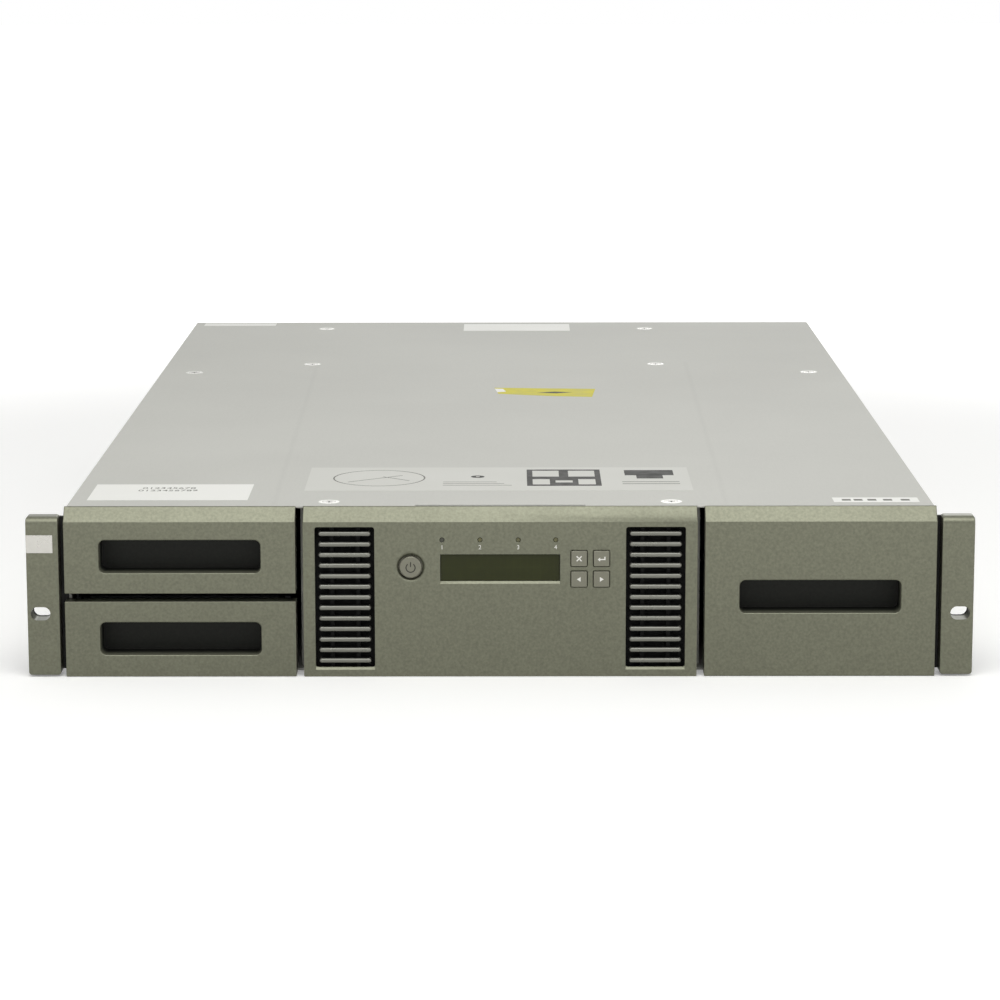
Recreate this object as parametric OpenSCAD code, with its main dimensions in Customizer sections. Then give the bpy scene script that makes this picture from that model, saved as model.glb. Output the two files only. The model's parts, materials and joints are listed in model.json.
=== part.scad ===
// Two-unit rack tape library: two slide-out magazines of cartridge slots, a drawer
// for single cartridges, a robot in the aisle between them and one tape drive.
// Millimetres. +Y runs from the front face to the rear, +Z is up, and the origin is
// the bottom centre of the whole assembly.

/* [Case] */
// Width of the sheet steel case
case_w = 438.4; // [436:0.2:444]
// Height of the case over its top cover
case_h = 86.7; // [86:0.1:88]
// Depth from the front face to the rear panel
case_d = 740; // [735:1:790]
// Thickness of the case's sheet steel
sheet_t = 1.2; // [1:0.1:1.4]
// Height of the sloped top edge of the front mouldings
chamfer_h = 7.1; // [4:0.1:9]
// Depth of the sloped top edge of the front mouldings
chamfer_d = 6.3; // [4:0.1:6.6]

/* [Rack ears] */
// Length of each rack slot
slot_l = 9.8; // [8:0.1:11]
// Height of each rack slot
slot_h = 6.6; // [5:0.1:8]
// Height of the slots' centres above the base
slot_z = 32.6; // [25:0.1:50]
// Width of an ear cover
ear_w = 16.4; // [14:0.1:17]
// Depth of an ear cover
ear_d = 10; // [9:0.1:10]
// Thickness of the steel rack brackets
bracket_t = 2; // [1.5:0.1:2.2]

/* [Front mouldings] */
// Gap between the control panel and a magazine front
panel_gap = 3.8; // [3:0.1:4.5]
// Depth of the magazine fronts where they are full width
bezel_d = 10; // [9:0.1:10]
// Wall of the plastic mouldings
mould_t = 2.5; // [2:0.1:3]
// Gap between the mailslot front and the magazine front above it
mailslot_gap = 4.1; // [3:0.1:5]
// Width of a finger pocket
pocket_w = 81.4; // [60:0.1:90]
// Height of a finger pocket
pocket_h = 16.7; // [14:0.1:18]
// Depth of a finger pocket
pocket_d = 14; // [12:0.1:15]
// Corner radius of a finger pocket
pocket_r = 3; // [1:0.1:5]

/* [Vents] */
// Number of bars in a vent
vent_bars = 13; // [9:1:13]
// Height of a bar
bar_h = 2.4; // [1.8:0.1:3]
// Space between a bar's end and the side of its vent
bar_side = 1.8; // [1:0.1:4]

/* [Controls] */
// Height of the display window
lcd_h = 13.9; // [10:0.1:15]
// How far the keys stand out of the panel
key_proud = 0.8; // [0.7:0.1:1.2]
// How far a key or the power button is pressed
key_travel = 0.6; // [0.4:0.1:0.6]
// Diameter of the power button's cap
power_cap = 11.2; // [9:0.1:12]
// Diameter of the shallow dish round the power button
power_dish = 16.6; // [15:0.1:18]
// Diameter of a status light
led = 2.2; // [1.6:0.1:3]

/* [Cartridges] */
// Width of a tape cartridge, across the way it slides
cart_w = 102; // [100:0.1:103]
// Length of a tape cartridge, along the way it slides
cart_l = 105.4; // [103:0.1:106]
// Cartridge columns along a magazine
columns = 4; // [4:1:4]
// Cartridge tiers in a magazine
tiers = 3; // [3:1:3]
// Space between one tier of cartridges and the next
tier_gap = 2; // [1.8:0.1:2]
// Free space beside a cartridge
slot_side = 2.5; // [2.2:0.1:3]
// Thickness of the dividers between the columns
divider_t = 3; // [2:0.1:3.5]
// Wall of a magazine's floor, outer wall and roof
magazine_t = 1.4; // [1.2:0.1:1.5]

/* [Robot] */
// Gear module of the rack, the pinions and the turntable
gear_module = 1; // [0.9:0.05:1]
// Teeth of the travel pinion
travel_teeth = 18; // [17:1:19]
// Teeth round the turntable
table_teeth = 112; // [110:1:113]
// Teeth of the idler between the turntable and its pinion
idler_teeth = 36; // [35:1:37]
// Teeth of the turn pinion
turn_teeth = 14; // [13:1:14]
// Travel of the gripper along the picker tray
gripper_travel = 107; // [95:1:107]
// Diameter of the lift posts
post = 4; // [3:0.1:4.2]

/* [Drive and power] */
// Width of the half-height tape drive
drive_w = 146; // [140:0.5:148]
// Height of the half-height tape drive
drive_h = 41.3; // [40:0.1:42]
// Space behind the tape drive for its cables
drive_back = 22; // [15:1:40]
// Number of fan blades
fan_blades = 7; // [5:1:9]
// How far the drive's handle stands out of the rear
handle_out = 22; // [18:1:30]

/* [Hidden] */
$fn = 48;

// Clearances
slide_gap = 0.3;        // between pieces that slide past each other
joint_gap = 0.1;        // between plates that are clipped or riveted together
slot_gap = 0.5;         // above and below a cartridge
part_gap = 0.3;         // between separate mouldings
cap_gap = 0.6;          // round the power button's cap
cut = 1;                // how far a cutter runs past a face

// Depths, from the front face
faceplate_t = 1.2;
front_y = -(key_proud + case_d + faceplate_t + handle_out) / 2 + key_proud;
cover_y = chamfer_d + 0.7;                 // front edge of the top cover
bracket_y = bezel_d + part_gap;            // front of the rack brackets' flanges
nose_y = bezel_d + 8;                      // back of a magazine front's hub
nose_d = 10;                               // ribbed nose between hub and first divider
board_y = 12.5;                            // front of the control board
switch_d = 2;
stem_y = board_y - switch_d - key_travel - part_gap;
panel_d = 14;                              // depth of the control panel moulding
dish_d = 1.2;                              // depth of the dish round the power button
window_y = 1.3;                            // front of the display window
sill = 1.2;                                // height and depth of an opening's sloped lower edge
bulkhead_y = 21;                           // front of the sheet behind the control panel
column_pitch = cart_w + 2 * slot_side + divider_t;
first_column_y = nose_y + nose_d + divider_t + slot_side + cart_w / 2;
function column_y(i) = first_column_y + i * column_pitch;
magazine_end = column_y(columns - 1) + column_pitch / 2 + divider_t / 2;
brace_y = magazine_end + 7;                // front of the cross brace
brace_d = 14;
rear_y = case_d - sheet_t;                 // front of the rear panel

// Heights; the lowest cartridge lies just over the robot's gears
cover_z = case_h - sheet_t;                // underside of the cover
magazine_top = cover_z - slide_gap;
shelf_t = 1.2;
top_tier_gap = 0.3;
first_tier_z = 15;
cart_h = (magazine_top - magazine_t - top_tier_gap - first_tier_z - (tiers - 1) * tier_gap) / tiers;
tier_pitch = cart_h + tier_gap;
function tier_z(k) = magazine_top - magazine_t - top_tier_gap - cart_h
    - (tiers - 1 - k) * tier_pitch;
magazine_z = tier_z(0) - slot_gap - magazine_t;
inner_h = magazine_top - magazine_t - joint_gap - magazine_z - magazine_t - joint_gap;
wall_z = magazine_z + magazine_t + joint_gap;
mailslot_h = tier_z(1) + 0.3;
ear_z = 0.8;
ear_h = case_h - 5.3;

// Widths
side_x = case_w / 2 - sheet_t;             // inner face of a side wall
magazine_out = side_x - 1.5;
wall_x = magazine_out - magazine_t;        // inner face of a magazine's outer wall
slot_end_x = wall_x - 1;                   // where a cartridge stops
slot_x = slot_end_x - cart_l;              // where a cartridge's near end lies
magazine_in = slot_x - 1;
bezel_in = magazine_in - 4.4;
bezel_out = case_w / 2 + 1;
panel_w = 2 * (bezel_in - panel_gap);
rack_spacing = case_w + 26.7;              // 465.1 in a 19 inch rack
ear_out = rack_spacing / 2 + 6.65;
ear_in = ear_out - ear_w;

// Robot
robot_y = (column_y(0) + column_y(columns - 1)) / 2;
travel_x = 15.7 - magazine_in;
travel_y = 42;
rail_x = -travel_x - 22;
rail_w = 4;
rail_h = 3.8;
carriage_z = sheet_t + rail_h + slide_gap;
carriage_t = 2;
deck_z = carriage_z + carriage_t;
gear_z = deck_z + 1.4;
gear_t = 1.6;
gear_backlash = 0.24;
gear_play = 0.08;                          // extra distance between meshed gears
function pitch_r(teeth) = teeth * gear_module / 2;
table_r = pitch_r(table_teeth);
idler_at = table_r + pitch_r(idler_teeth) + gear_play;
turn_at = idler_at + pitch_r(idler_teeth) + pitch_r(turn_teeth) + gear_play;
motor_room = 17.83;                        // between the turn motor's shaft and a magazine
train_angle = -acos(min(cos(25), (magazine_in - motor_room) / turn_at));
rack_x = travel_x - pitch_r(travel_teeth) - gear_play;
shaft_r = 1.5;
hub_r = 8;
lift_base_z = gear_z + gear_t + 0.2;
lift_base_t = 1.2;
tray_z = magazine_z;
tray_t = magazine_t;
tray_half = cart_w / 2 + slot_side + 0.1;  // inner half width of the picker tray
tray_wall = 1.4;
tray_out = tray_half + tray_wall;
tray_back = 57.5;
tray_front = 70;
post_x = tray_out + 3;
post_y = 22;
post_top = cover_z - 1.4;
finger_l = 55;
finger_t = 1.4;
gripper_d = 10;

// Drive bay and rear
drive_y = column_y(columns - 1) - tray_back + gripper_d + 0.5 + finger_l + gripper_travel + 2.5;
drive_bezel_d = 6;
drive_z = tier_z(0) + cart_h / 2 - drive_h / 2;
drive_tray_t = 1.2;
drive_tray_z = drive_z - part_gap - drive_tray_t;
bay_left_x = -drive_w / 2 - 51;
bay_right_x = drive_w / 2 + 28;
bay_y = brace_y + brace_d + part_gap;
bay_screw_y = [bay_y + 30.7, case_d - 36];
drive_end = case_d - drive_back;
sled_open_w = drive_w + 10;
drive_face_w = sled_open_w + 20;
drive_face_top = drive_z + drive_h + 0.6;
thumb_x = (sled_open_w + drive_face_w) / 4 - 0.5;
thumb_z = drive_face_top - 7;
handle_z = drive_face_top - 6;
blank_gap = 0.6;
face_z = 2;
face_top = cover_z - 1.5;
psu_x = [bay_right_x + 7, side_x - 4];
psu_y = case_d - 140;
psu_z = [3, cover_z - 3.5];
fan = min(psu_x[1] - psu_x[0] - 50, cover_z - 26);     // beside the inlet, and under the cover
fan_frame = fan + 4;
fan_frame_d = 15;
fan_x = psu_x[1] - fan_frame / 2 - 2;
fan_z = cover_z / 2 + 0.25;
inlet_x = bay_right_x + 29;
inlet_z = fan_z;
inlet_w = 27;
inlet_h = 20;
board_x = [6 - side_x, bay_left_x - 6];
board_y_back = [case_d - 170, rear_y - part_gap];
board_z = 12;
board_t = 1.6;
jack_x = board_x[0] + 52;
jack_w = 16;
jack_h = 13.5;
jack_d = 21;

// Control panel layout, in shares of the panel's width and down from its top
panel_share = panel_w / 199;
panel_top = case_h;
led_z = panel_top - 16.3;
led_x = [-29.3, -10.2, 9.1, 28] * panel_share;
lcd_w = 60.5 * panel_share;
lcd_z = panel_top - 30.7;
key_w = 8 * panel_share;
key_x = [39.8, 51.1] * panel_share;
key_z = [panel_top - 25.8, panel_top - 36.4];
power_x = -45.2 * panel_share;
power_z = panel_top - 30.3;
vent_w = 30 * panel_share;
vent_h = panel_top - 14.4;
vent_x = panel_w / 2 - vent_w / 2 - 6;
vent_z = vent_h / 2 + 4.65;
bar_w = vent_w - 2 * bar_side;
bar_first_z = vent_z - vent_h / 2 + 3.35;
bar_pitch = (vent_h - 6.9) / (vent_bars - 1);
control_x = 60 * panel_share;

// Cover screws: front pair, sides, bay walls
front_screw_x = bezel_in - 16.3;
side_screw_x = side_x - 20;
screw_at = [[-front_screw_x, 18.6], [front_screw_x, 18.6],
    [-side_screw_x, brace_y + brace_d / 2], [side_screw_x, brace_y + brace_d / 2],
    for (x = [bay_left_x, bay_right_x], y = bay_screw_y) [x, y]];
screw_head = 3.6;
screw_shank = 1.6;

// ---------- shared shapes ----------

// A box between two limits on each axis, with y counted from the front face
module block(x, y, z) {
    translate([x[0], front_y + y[0], z[0]])
        cube([x[1] - x[0], y[1] - y[0], z[1] - z[0]]);
}

// The other side of the machine
module flip() {
    mirror([1, 0, 0]) children();
}

module both() {
    children();
    flip() children();
}

// A place with y counted from the front face
module at(x, y, z) {
    translate([x, front_y + y, z]) children();
}

// A rounded rectangle made of true arcs
module rounded(w, h, r) {
    square([w - 2 * r, h], center = true);
    square([w, h - 2 * r], center = true);
    for (x = [-1, 1], z = [-1, 1])
        translate([x * (w / 2 - r), z * (h / 2 - r)]) circle(r);
}

// An outline drawn in X and Z, run from y0 to y1 behind the front face
module run_back(y0, y1) {
    translate([0, front_y + y1, 0]) rotate([90, 0, 0]) linear_extrude(y1 - y0) children();
}

// An outline drawn in Y and Z, run across from x0 to x1
module run_across(x0, x1) {
    translate([x0, front_y, 0]) rotate([90, 0, 90]) linear_extrude(x1 - x0) children();
}

// A rod along Y
module rod_y(r, x, y0, y1, z) {
    at(x, y1, z) rotate([90, 0, 0]) cylinder(r = r, h = y1 - y0);
}

// A rod along Z
module rod_z(r, x, y, z0, z1) {
    at(x, y, z0) cylinder(r = r, h = z1 - z0);
}

// Side view of a front moulding from z0 up to top, with its sloped top edge
module front_profile(z0, top, depth) {
    lip = 1.7;
    polygon([[0, z0], [0, top - chamfer_h], [chamfer_d, top], [chamfer_d + 0.3, top],
        [chamfer_d + 0.3, top - lip], [depth, top - lip], [depth, z0]]);
}

// Involute gear outline, with its first tooth on the +X axis
function inv(a) = tan(a) * 180 / PI - a;
function tooth_half(r, teeth) = let (p = pitch_r(teeth), base = p * cos(20))
    90 / teeth - gear_backlash / (2 * p) * 90 / PI + inv(20) - (r > base ? inv(acos(base / r)) : 0);
function tooth_radii(teeth) = let (p = pitch_r(teeth), m = gear_module)
    [p - 1.2 * m, p - 0.45 * m, p + 0.15 * m, p + 0.9 * m];
function gear_points(teeth) = [for (i = [0:teeth - 1]) let (a = i * 360 / teeth, rs = tooth_radii(teeth))
    each concat(
        [for (j = [0:3]) let (t = a - tooth_half(rs[j], teeth)) rs[j] * [cos(t), sin(t)]],
        [for (j = [3:-1:0]) let (t = a + tooth_half(rs[j], teeth)) rs[j] * [cos(t), sin(t)]])];

module gear(teeth, t) {
    linear_extrude(t) polygon(gear_points(teeth));
}

// ---------- case ----------

module floor_pan() {
    color("silver")
        difference() {
            block([-case_w / 2, case_w / 2], [panel_d + part_gap, rear_y], [0, sheet_t]);
            for (i = [-8.5:8.5], y = [bay_y + 8, bay_y + 28])
                at(i * case_w / 22, y, -cut) cylinder(d = 5, h = sheet_t + 2 * cut);
        }
}

module side_walls() {
    color("silver")
        both() difference() {
            block([side_x, case_w / 2], [bracket_y + part_gap, rear_y], [sheet_t, cover_z]);
            for (i = [1:16])
                block([side_x - cut, case_w / 2 + cut], [case_d - 18 - 12 * i, case_d - 14 - 12 * i],
                    [30, cover_z - 27.5]);
        }
}

// One countersunk screw hole through the cover
module screw_cutter(gap) {
    translate([0, 0, case_h - sheet_t - cut]) cylinder(r = screw_shank + gap, h = sheet_t + 2 * cut);
    translate([0, 0, case_h - sheet_t]) cylinder(r1 = screw_shank + gap, r2 = screw_head + gap, h = sheet_t);
}

module top_cover() {
    notch_w = 86;
    notch_d = 3.2;
    color("gainsboro")
        difference() {
            block([-case_w / 2, case_w / 2], [cover_y, case_d], [cover_z, case_h]);
            block([-notch_w / 2, notch_w / 2], [cover_y - cut, cover_y + notch_d],
                [cover_z - cut, case_h + cut]);
            for (s = screw_at) at(s[0], s[1], 0) screw_cutter(joint_gap);
        }
}

module cover_screws() {
    slot = 3.2;
    color("silver")
        for (s = screw_at) at(s[0], s[1], 0) difference() {
            union() {
                translate([0, 0, cover_z]) cylinder(r1 = screw_shank, r2 = screw_head, h = sheet_t);
                translate([0, 0, cover_z - 5]) cylinder(r = screw_shank, h = 5);
            }
            translate([-0.4, -slot / 2, case_h - 0.7]) cube([0.8, slot, cut]);
            translate([-slot / 2, -0.4, case_h - 0.7]) cube([slot, 0.8, cut]);
        }
}

// Holes in whatever the cover screws go into
module screw_bores() {
    for (s = screw_at) rod_z(screw_shank + joint_gap, s[0], s[1], cover_z - 7, cover_z + cut);
}

module cover_brace() {
    color("silver")
        difference() {
            block([-side_x, side_x], [brace_y, brace_y + brace_d], [cover_z - 1.4, cover_z]);
            screw_bores();
        }
}

// The two sheets that wall the drive bay, each with two blocks for the cover's screws
module bay_walls() {
    block_w = 9;
    color("silver")
        for (x = [bay_left_x, bay_right_x]) difference() {
            union() {
                block([x - sheet_t / 2, x + sheet_t / 2], [bay_y, rear_y], [sheet_t, cover_z]);
                for (y = bay_screw_y)
                    block([x - block_w / 2, x + block_w / 2], [y - block_w / 2, y + block_w / 2],
                        [cover_z - 8, cover_z]);
            }
            screw_bores();
        }
}

module rear_frame() {
    color("silver")
        difference() {
            block([-case_w / 2, case_w / 2], [rear_y, case_d], [0, cover_z]);
            block([-sled_open_w / 2, sled_open_w / 2], [rear_y - cut, case_d + cut], [3, face_top - 1]);
            block([inlet_x - inlet_w / 2 - joint_gap, inlet_x + inlet_w / 2 + joint_gap],
                [rear_y - cut, case_d + cut],
                [inlet_z - inlet_h / 2 - joint_gap, inlet_z + inlet_h / 2 + joint_gap]);
            rod_y(fan / 2, fan_x, rear_y - cut, case_d + cut, fan_z);
            for (x = [-1, 1]) rod_y(2, x * thumb_x, rear_y - cut, case_d + cut, thumb_z);
            block([jack_x - jack_w / 2 - joint_gap, jack_x + jack_w / 2 + joint_gap],
                [rear_y - cut, case_d + cut],
                [board_z + board_t - joint_gap, board_z + board_t + jack_h + joint_gap]);
            for (i = [0:8]) let (x = board_x[0] + 7 + i * (board_x[1] - board_x[0] - 18) / 8)
                block([x, x + 4], [rear_y - cut, case_d + cut], [cover_z - 40.5, cover_z - 15.5]);
        }
}

module front_bulkhead() {
    half = bezel_in - 1.5;
    block_w = 6;
    color("silver")
        difference() {
            union() {
                block([-half, half], [bulkhead_y, bulkhead_y + sheet_t], [sheet_t, cover_z]);
                for (s = [screw_at[0], screw_at[1]])
                    block([s[0] - 5, s[0] + 5], [bulkhead_y - block_w, bulkhead_y], [cover_z - 8, cover_z]);
                for (x = [-1, 1] * (bezel_in - 13.3))
                    block([x - 4, x + 4], [panel_d + part_gap, bulkhead_y], [sheet_t, 9]);
            }
            for (x = [-1, 1], i = [0:5], j = [0:9])
                rod_y(vent_w / 15, x * (vent_x + (i - 2.5) * vent_w / 6), bulkhead_y - cut,
                    bulkhead_y + 2 * cut, 14 + j * vent_h / 12);
            screw_bores();
        }
}

// ---------- rack ears ----------

// The slot's outline, with both ends round
module rack_slot(gap) {
    translate([rack_spacing / 2, slot_z])
        rounded(slot_l + 2 * gap, slot_h + 2 * gap, slot_h / 2 + gap - 0.001);
}

module rack_bracket() {
    leg_end = 75;
    color("dimgray")
        difference() {
            union() {
                block([case_w / 2, ear_out], [bracket_y, bracket_y + bracket_t], [2, ear_h - 0.5]);
                block([case_w / 2, case_w / 2 + bracket_t], [bracket_y, leg_end], [4, leg_top]);
            }
            run_back(bracket_y - cut, bracket_y + bracket_t + cut) rack_slot(0);
            for (s = bracket_screw_at)
                at(case_w / 2 - cut, s[0], s[1]) rotate([0, 90, 0]) cylinder(r = 2, h = bracket_t + 2 * cut);
        }
}

leg_top = case_h - 14.7;
bracket_screw_at = [[32, 20], [32, leg_top - 14], [60, leg_top / 2 + 3]];

module rack_brackets() {
    both() rack_bracket();
}

module bracket_screws() {
    color("silver")
        both() for (s = bracket_screw_at) {
            at(case_w / 2 + bracket_t, s[0], s[1]) rotate([0, 90, 0]) cylinder(r1 = 3.4, r2 = 2.6, h = 1.4);
            at(case_w / 2, s[0], s[1]) rotate([0, 90, 0]) cylinder(r = 1.8, h = bracket_t);
        }
}

// Moulded cover of a rack ear, with a rounded top front edge and an open back
module ear_cover() {
    top_r = 4;
    top = ear_z + ear_h;
    wall = 2;
    color("dimgray")
        difference() {
            intersection() {
                run_back(0, ear_d)
                    translate([(ear_in + ear_out) / 2, ear_z + ear_h / 2]) rounded(ear_w, ear_h, 1.6);
                run_across(ear_in - cut, ear_out + cut) {
                    translate([0, ear_z]) square([ear_d, ear_h - top_r]);
                    translate([top_r, ear_z]) square([ear_d - top_r, ear_h]);
                    translate([top_r, top - top_r]) circle(top_r);
                }
            }
            difference() {
                block([ear_in + wall, ear_out - wall], [wall, ear_d + cut], [ear_z + wall, top - wall - 2]);
                run_back(0, ear_d) rack_slot(wall);
            }
            run_back(-cut, ear_d + cut) rack_slot(joint_gap);
        }
}

module left_ear_cover() {
    flip() ear_cover();
}

module right_ear_cover() {
    ear_cover();
}

// ---------- control panel ----------

module control_panel() {
    wall = mould_t;
    color("dimgray")
        difference() {
            union() {
                difference() {
                    run_across(-panel_w / 2, panel_w / 2) front_profile(0, panel_top, panel_d);
                    run_across(-panel_w / 2 + wall, panel_w / 2 - wall)
                        polygon([[wall, wall], [wall, panel_top - chamfer_h - 1],
                            [chamfer_d + 1, panel_top - 4.2], [panel_d + cut, panel_top - 4.2],
                            [panel_d + cut, wall]]);
                }
                for (x = [-1, 1] * (control_x - 6), z = [24, panel_top - 10.7])
                    rod_y(3, x, wall - 0.5, board_y, z);
            }
            both() {
                run_back(-cut, wall + cut) translate([vent_x, vent_z]) rounded(vent_w, vent_h, 1.2);
                sill_cutter(vent_x, vent_w, vent_z - vent_h / 2);
            }
            run_back(-cut, wall + cut) translate([0, lcd_z]) rounded(lcd_w, lcd_h, 0.4);
            sill_cutter(0, lcd_w, lcd_z - lcd_h / 2);
            rod_y(power_cap / 2 + cap_gap, power_x, -cut, wall + cut, power_z);
            dish_cutter();
            for (x = key_x, z = key_z)
                run_back(-cut, wall + cut) translate([x, z]) rounded(key_w + 0.5, key_w + 0.5, 0.8);
            for (x = led_x) rod_y(led / 2 + joint_gap, x, -cut, wall + cut, led_z);
        }
}

// The sloped lower edge of an opening whose bottom is at z
module sill_cutter(x, w, z) {
    run_across(x - w / 2, x + w / 2)
        polygon([[-cut, z - sill - cut], [sill, z], [sill, z + cut], [-cut, z + cut]]);
}

// The cone of the dish round the power button
module dish_cutter() {
    hole = power_cap / 2 + cap_gap;
    lean = (power_dish / 2 - hole) / dish_d;
    at(power_x, dish_d, power_z) rotate([90, 0, 0])
        cylinder(r1 = hole, r2 = hole + lean * (dish_d + cut), h = dish_d + cut);
}

// Round-ended bars on two upright ribs that stand on the panel's back over and under the opening
module vent_grille() {
    bar_y = 0.4;
    bar_d = 3.6;
    rib_w = 1.8;
    rib_y = bar_y + bar_d - 0.3;
    seat = 1.4;
    half = vent_h / 2;
    color("darkgray")
        translate([vent_x, 0, 0]) {
            for (i = [0:vent_bars - 1])
                run_back(bar_y, bar_y + bar_d) translate([0, bar_first_z + i * bar_pitch]) bar_outline();
            for (x = [-1, 1] * bar_w / 4) {
                block([x - rib_w / 2, x + rib_w / 2], [rib_y, 7],
                    [vent_z - half - seat, vent_z + half + seat]);
                for (z = [vent_z - half - seat, vent_z + half + 0.2])
                    block([x - rib_w / 2, x + rib_w / 2], [mould_t, rib_y + 0.5], [z, z + seat - 0.2]);
            }
        }
}

// A bar's outline with half-round ends
module bar_outline() {
    square([bar_w - bar_h, bar_h], center = true);
    for (x = [-1, 1]) translate([x * (bar_w - bar_h) / 2, 0]) circle(d = bar_h);
}

module vent_grilles() {
    both() vent_grille();
}

module vent_filters() {
    color("black")
        both() block([vent_x - vent_w / 2 - 1, vent_x + vent_w / 2 + 1], [7.2, 11],
            [vent_z - vent_h / 2 - 1, vent_z + vent_h / 2 + 1]);
}

module lcd_window() {
    color("darkolivegreen")
        run_back(window_y, mould_t) translate([0, lcd_z]) rounded(lcd_w - 0.2, lcd_h - 0.2, 0.3);
}

module lcd_module() {
    color("green")
        block([-1, 1] * 0.58 * lcd_w, [mould_t + 0.1, board_y - joint_gap], [lcd_z - 11, lcd_z + 10]);
}

module led_light_pipes() {
    color("white")
        for (x = led_x) {
            rod_y(led / 2, x, 0.2, 4, led_z);
            rod_y(led / 2 + 0.6, x, 4, board_y - joint_gap, led_z);
        }
}

module power_button() {
    color("darkgray") {
        rod_y(power_cap / 2, power_x, -0.2, mould_t + slide_gap, power_z);
        rod_y(power_cap / 2 + cap_gap + 0.8, power_x, mould_t + slide_gap, mould_t + 1.5, power_z);
        rod_y(1.5, power_x, mould_t + 1.5, stem_y, power_z);
    }
}

// A square key with a wider flange behind the panel and a stem to its switch
module key(x, z) {
    color("darkgray") {
        run_back(-key_proud, mould_t + slide_gap) translate([x, z]) rounded(key_w, key_w, 0.6);
        run_back(mould_t + slide_gap, mould_t + 1.5) translate([x, z])
            rounded(key_w + 1.2, key_w + 1.2, 0.8);
        rod_y(1.5, x, mould_t + 1.5, stem_y, z);
    }
}

module cancel_key() {
    key(key_x[0], key_z[0]);
}

module enter_key() {
    key(key_x[1], key_z[0]);
}

module previous_key() {
    key(key_x[0], key_z[1]);
}

module next_key() {
    key(key_x[1], key_z[1]);
}

module panel_board() {
    color("darkgreen") {
        block([-control_x, control_x], [board_y, board_y + board_t], [18, panel_top - 6.7]);
        for (p = [[power_x, power_z], for (x = key_x, z = key_z) [x, z]])
            block([p[0] - 3, p[0] + 3], [board_y - switch_d, board_y], [p[1] - 3, p[1] + 3]);
        block([-20, 20], [board_y + board_t, board_y + board_t + 5], [22, 27]);
    }
}

// ---------- magazines ----------

// A magazine front: an open-backed moulding with a finger pocket and a hub to the magazine
module magazine_front(z0, top, sloped, pocket_x, pocket_z) {
    wall = mould_t;
    hub_z0 = max(z0 + wall, magazine_z);
    hub_z1 = sloped ? magazine_top : top - wall;
    inner_top = top - (sloped ? 4.2 : wall);
    color("dimgray")
        difference() {
            union() {
                difference() {
                    if (sloped)
                        run_across(bezel_in, bezel_out) front_profile(z0, top, bezel_d);
                    else
                        block([bezel_in, bezel_out], [0, bezel_d], [z0, top]);
                    run_across(bezel_in + wall, bezel_out - wall)
                        polygon([[wall, z0 + wall], [wall, top - (sloped ? chamfer_h + 1 : wall)],
                            [chamfer_d + 1, inner_top], [bezel_d + cut, inner_top],
                            [bezel_d + cut, z0 + wall]]);
                }
                run_back(wall - 0.5, pocket_d + wall) translate([pocket_x, pocket_z])
                    rounded(pocket_w + 2 * wall, pocket_h + 2 * wall, pocket_r + wall);
                for (x = [magazine_in + 3, magazine_out - 6]) {
                    block([x, x + 3], [wall - 0.5, nose_y], [hub_z0, min(hub_z1, slope_z - 1)]);
                    if (sloped)
                        block([x, x + 3], [chamfer_d + 0.3, nose_y], [hub_z0, hub_z1]);
                }
            }
            run_back(-cut, pocket_d) translate([pocket_x, pocket_z]) rounded(pocket_w, pocket_h, pocket_r);
        }
}

pocket_middle = (bezel_in + bezel_out) / 2;
slope_z = case_h - chamfer_h;              // foot of the sloped top edge

module right_magazine_bezel() {
    magazine_front(0, case_h, true, pocket_middle, slope_z / 2 + 1.3);
}

module left_magazine_bezel() {
    z0 = mailslot_h + mailslot_gap;
    flip() magazine_front(z0, case_h, true, pocket_middle, (z0 + slope_z) / 2 + 0.65);
}

module mailslot_bezel() {
    flip() magazine_front(0, mailslot_h, false, pocket_middle, mailslot_h / 2 + 0.2);
}

// Floor, outer wall and roof; the floor starts further back where the mailslot rides
module magazine_casing(floor_y) {
    color("slategray") {
        block([magazine_in, magazine_out], [floor_y, magazine_end], [magazine_z, magazine_z + magazine_t]);
        block([wall_x, magazine_out], [nose_y, magazine_end], [wall_z, wall_z + inner_h]);
        difference() {
            block([magazine_in, magazine_out], [nose_y, magazine_end],
                [magazine_top - magazine_t, magazine_top]);
            for (i = [0:columns - 1], x = [-1, 0, 1] * cart_l * 0.3)
                at((magazine_in + wall_x) / 2 + x, column_y(i), magazine_top - magazine_t - cut)
                    linear_extrude(magazine_t + 2 * cut) rounded(cart_l * 0.21, cart_w * 0.69, 4);
        }
    }
}

// Upright dividers; the first stands on the mailslot's ceiling where there is a mailslot
module magazine_dividers(first_z) {
    color("slategray")
        for (i = [0:columns]) {
            y = column_y(0) - column_pitch / 2 - divider_t / 2 + i * column_pitch;
            z0 = i == 0 ? first_z : wall_z;
            block([magazine_in, wall_x - joint_gap], [y, y + divider_t], [z0, wall_z + inner_h]);
        }
}

// A shelf with a notch on the aisle side that leaves room for the picker
module shelf(y, z) {
    notch_w = 46;
    notch_d = 26;
    half = column_pitch / 2 - divider_t / 2 - joint_gap;
    difference() {
        block([magazine_in, wall_x - joint_gap], [y - half, y + half], [z, z + shelf_t]);
        at(magazine_in, y, z - cut) linear_extrude(shelf_t + 2 * cut) rounded(2 * notch_d, notch_w, 8);
    }
}

module magazine_shelves() {
    color("slategray")
        for (i = [0:columns - 1], k = [1:tiers - 1])
            shelf(column_y(i), tier_z(k) - 0.4 - shelf_t);
}

// Ribbed nose that joins the front moulding to the first divider
module magazine_nose(z0) {
    color("slategray")
        for (x = [magazine_in + 3, (magazine_in + magazine_out) / 2, magazine_out - 6])
            block([x, x + 3], [nose_y + joint_gap, nose_y + nose_d - joint_gap], [z0, wall_z + inner_h]);
}

mailslot_ceiling = tier_z(1) - 0.4 - shelf_t;

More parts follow.
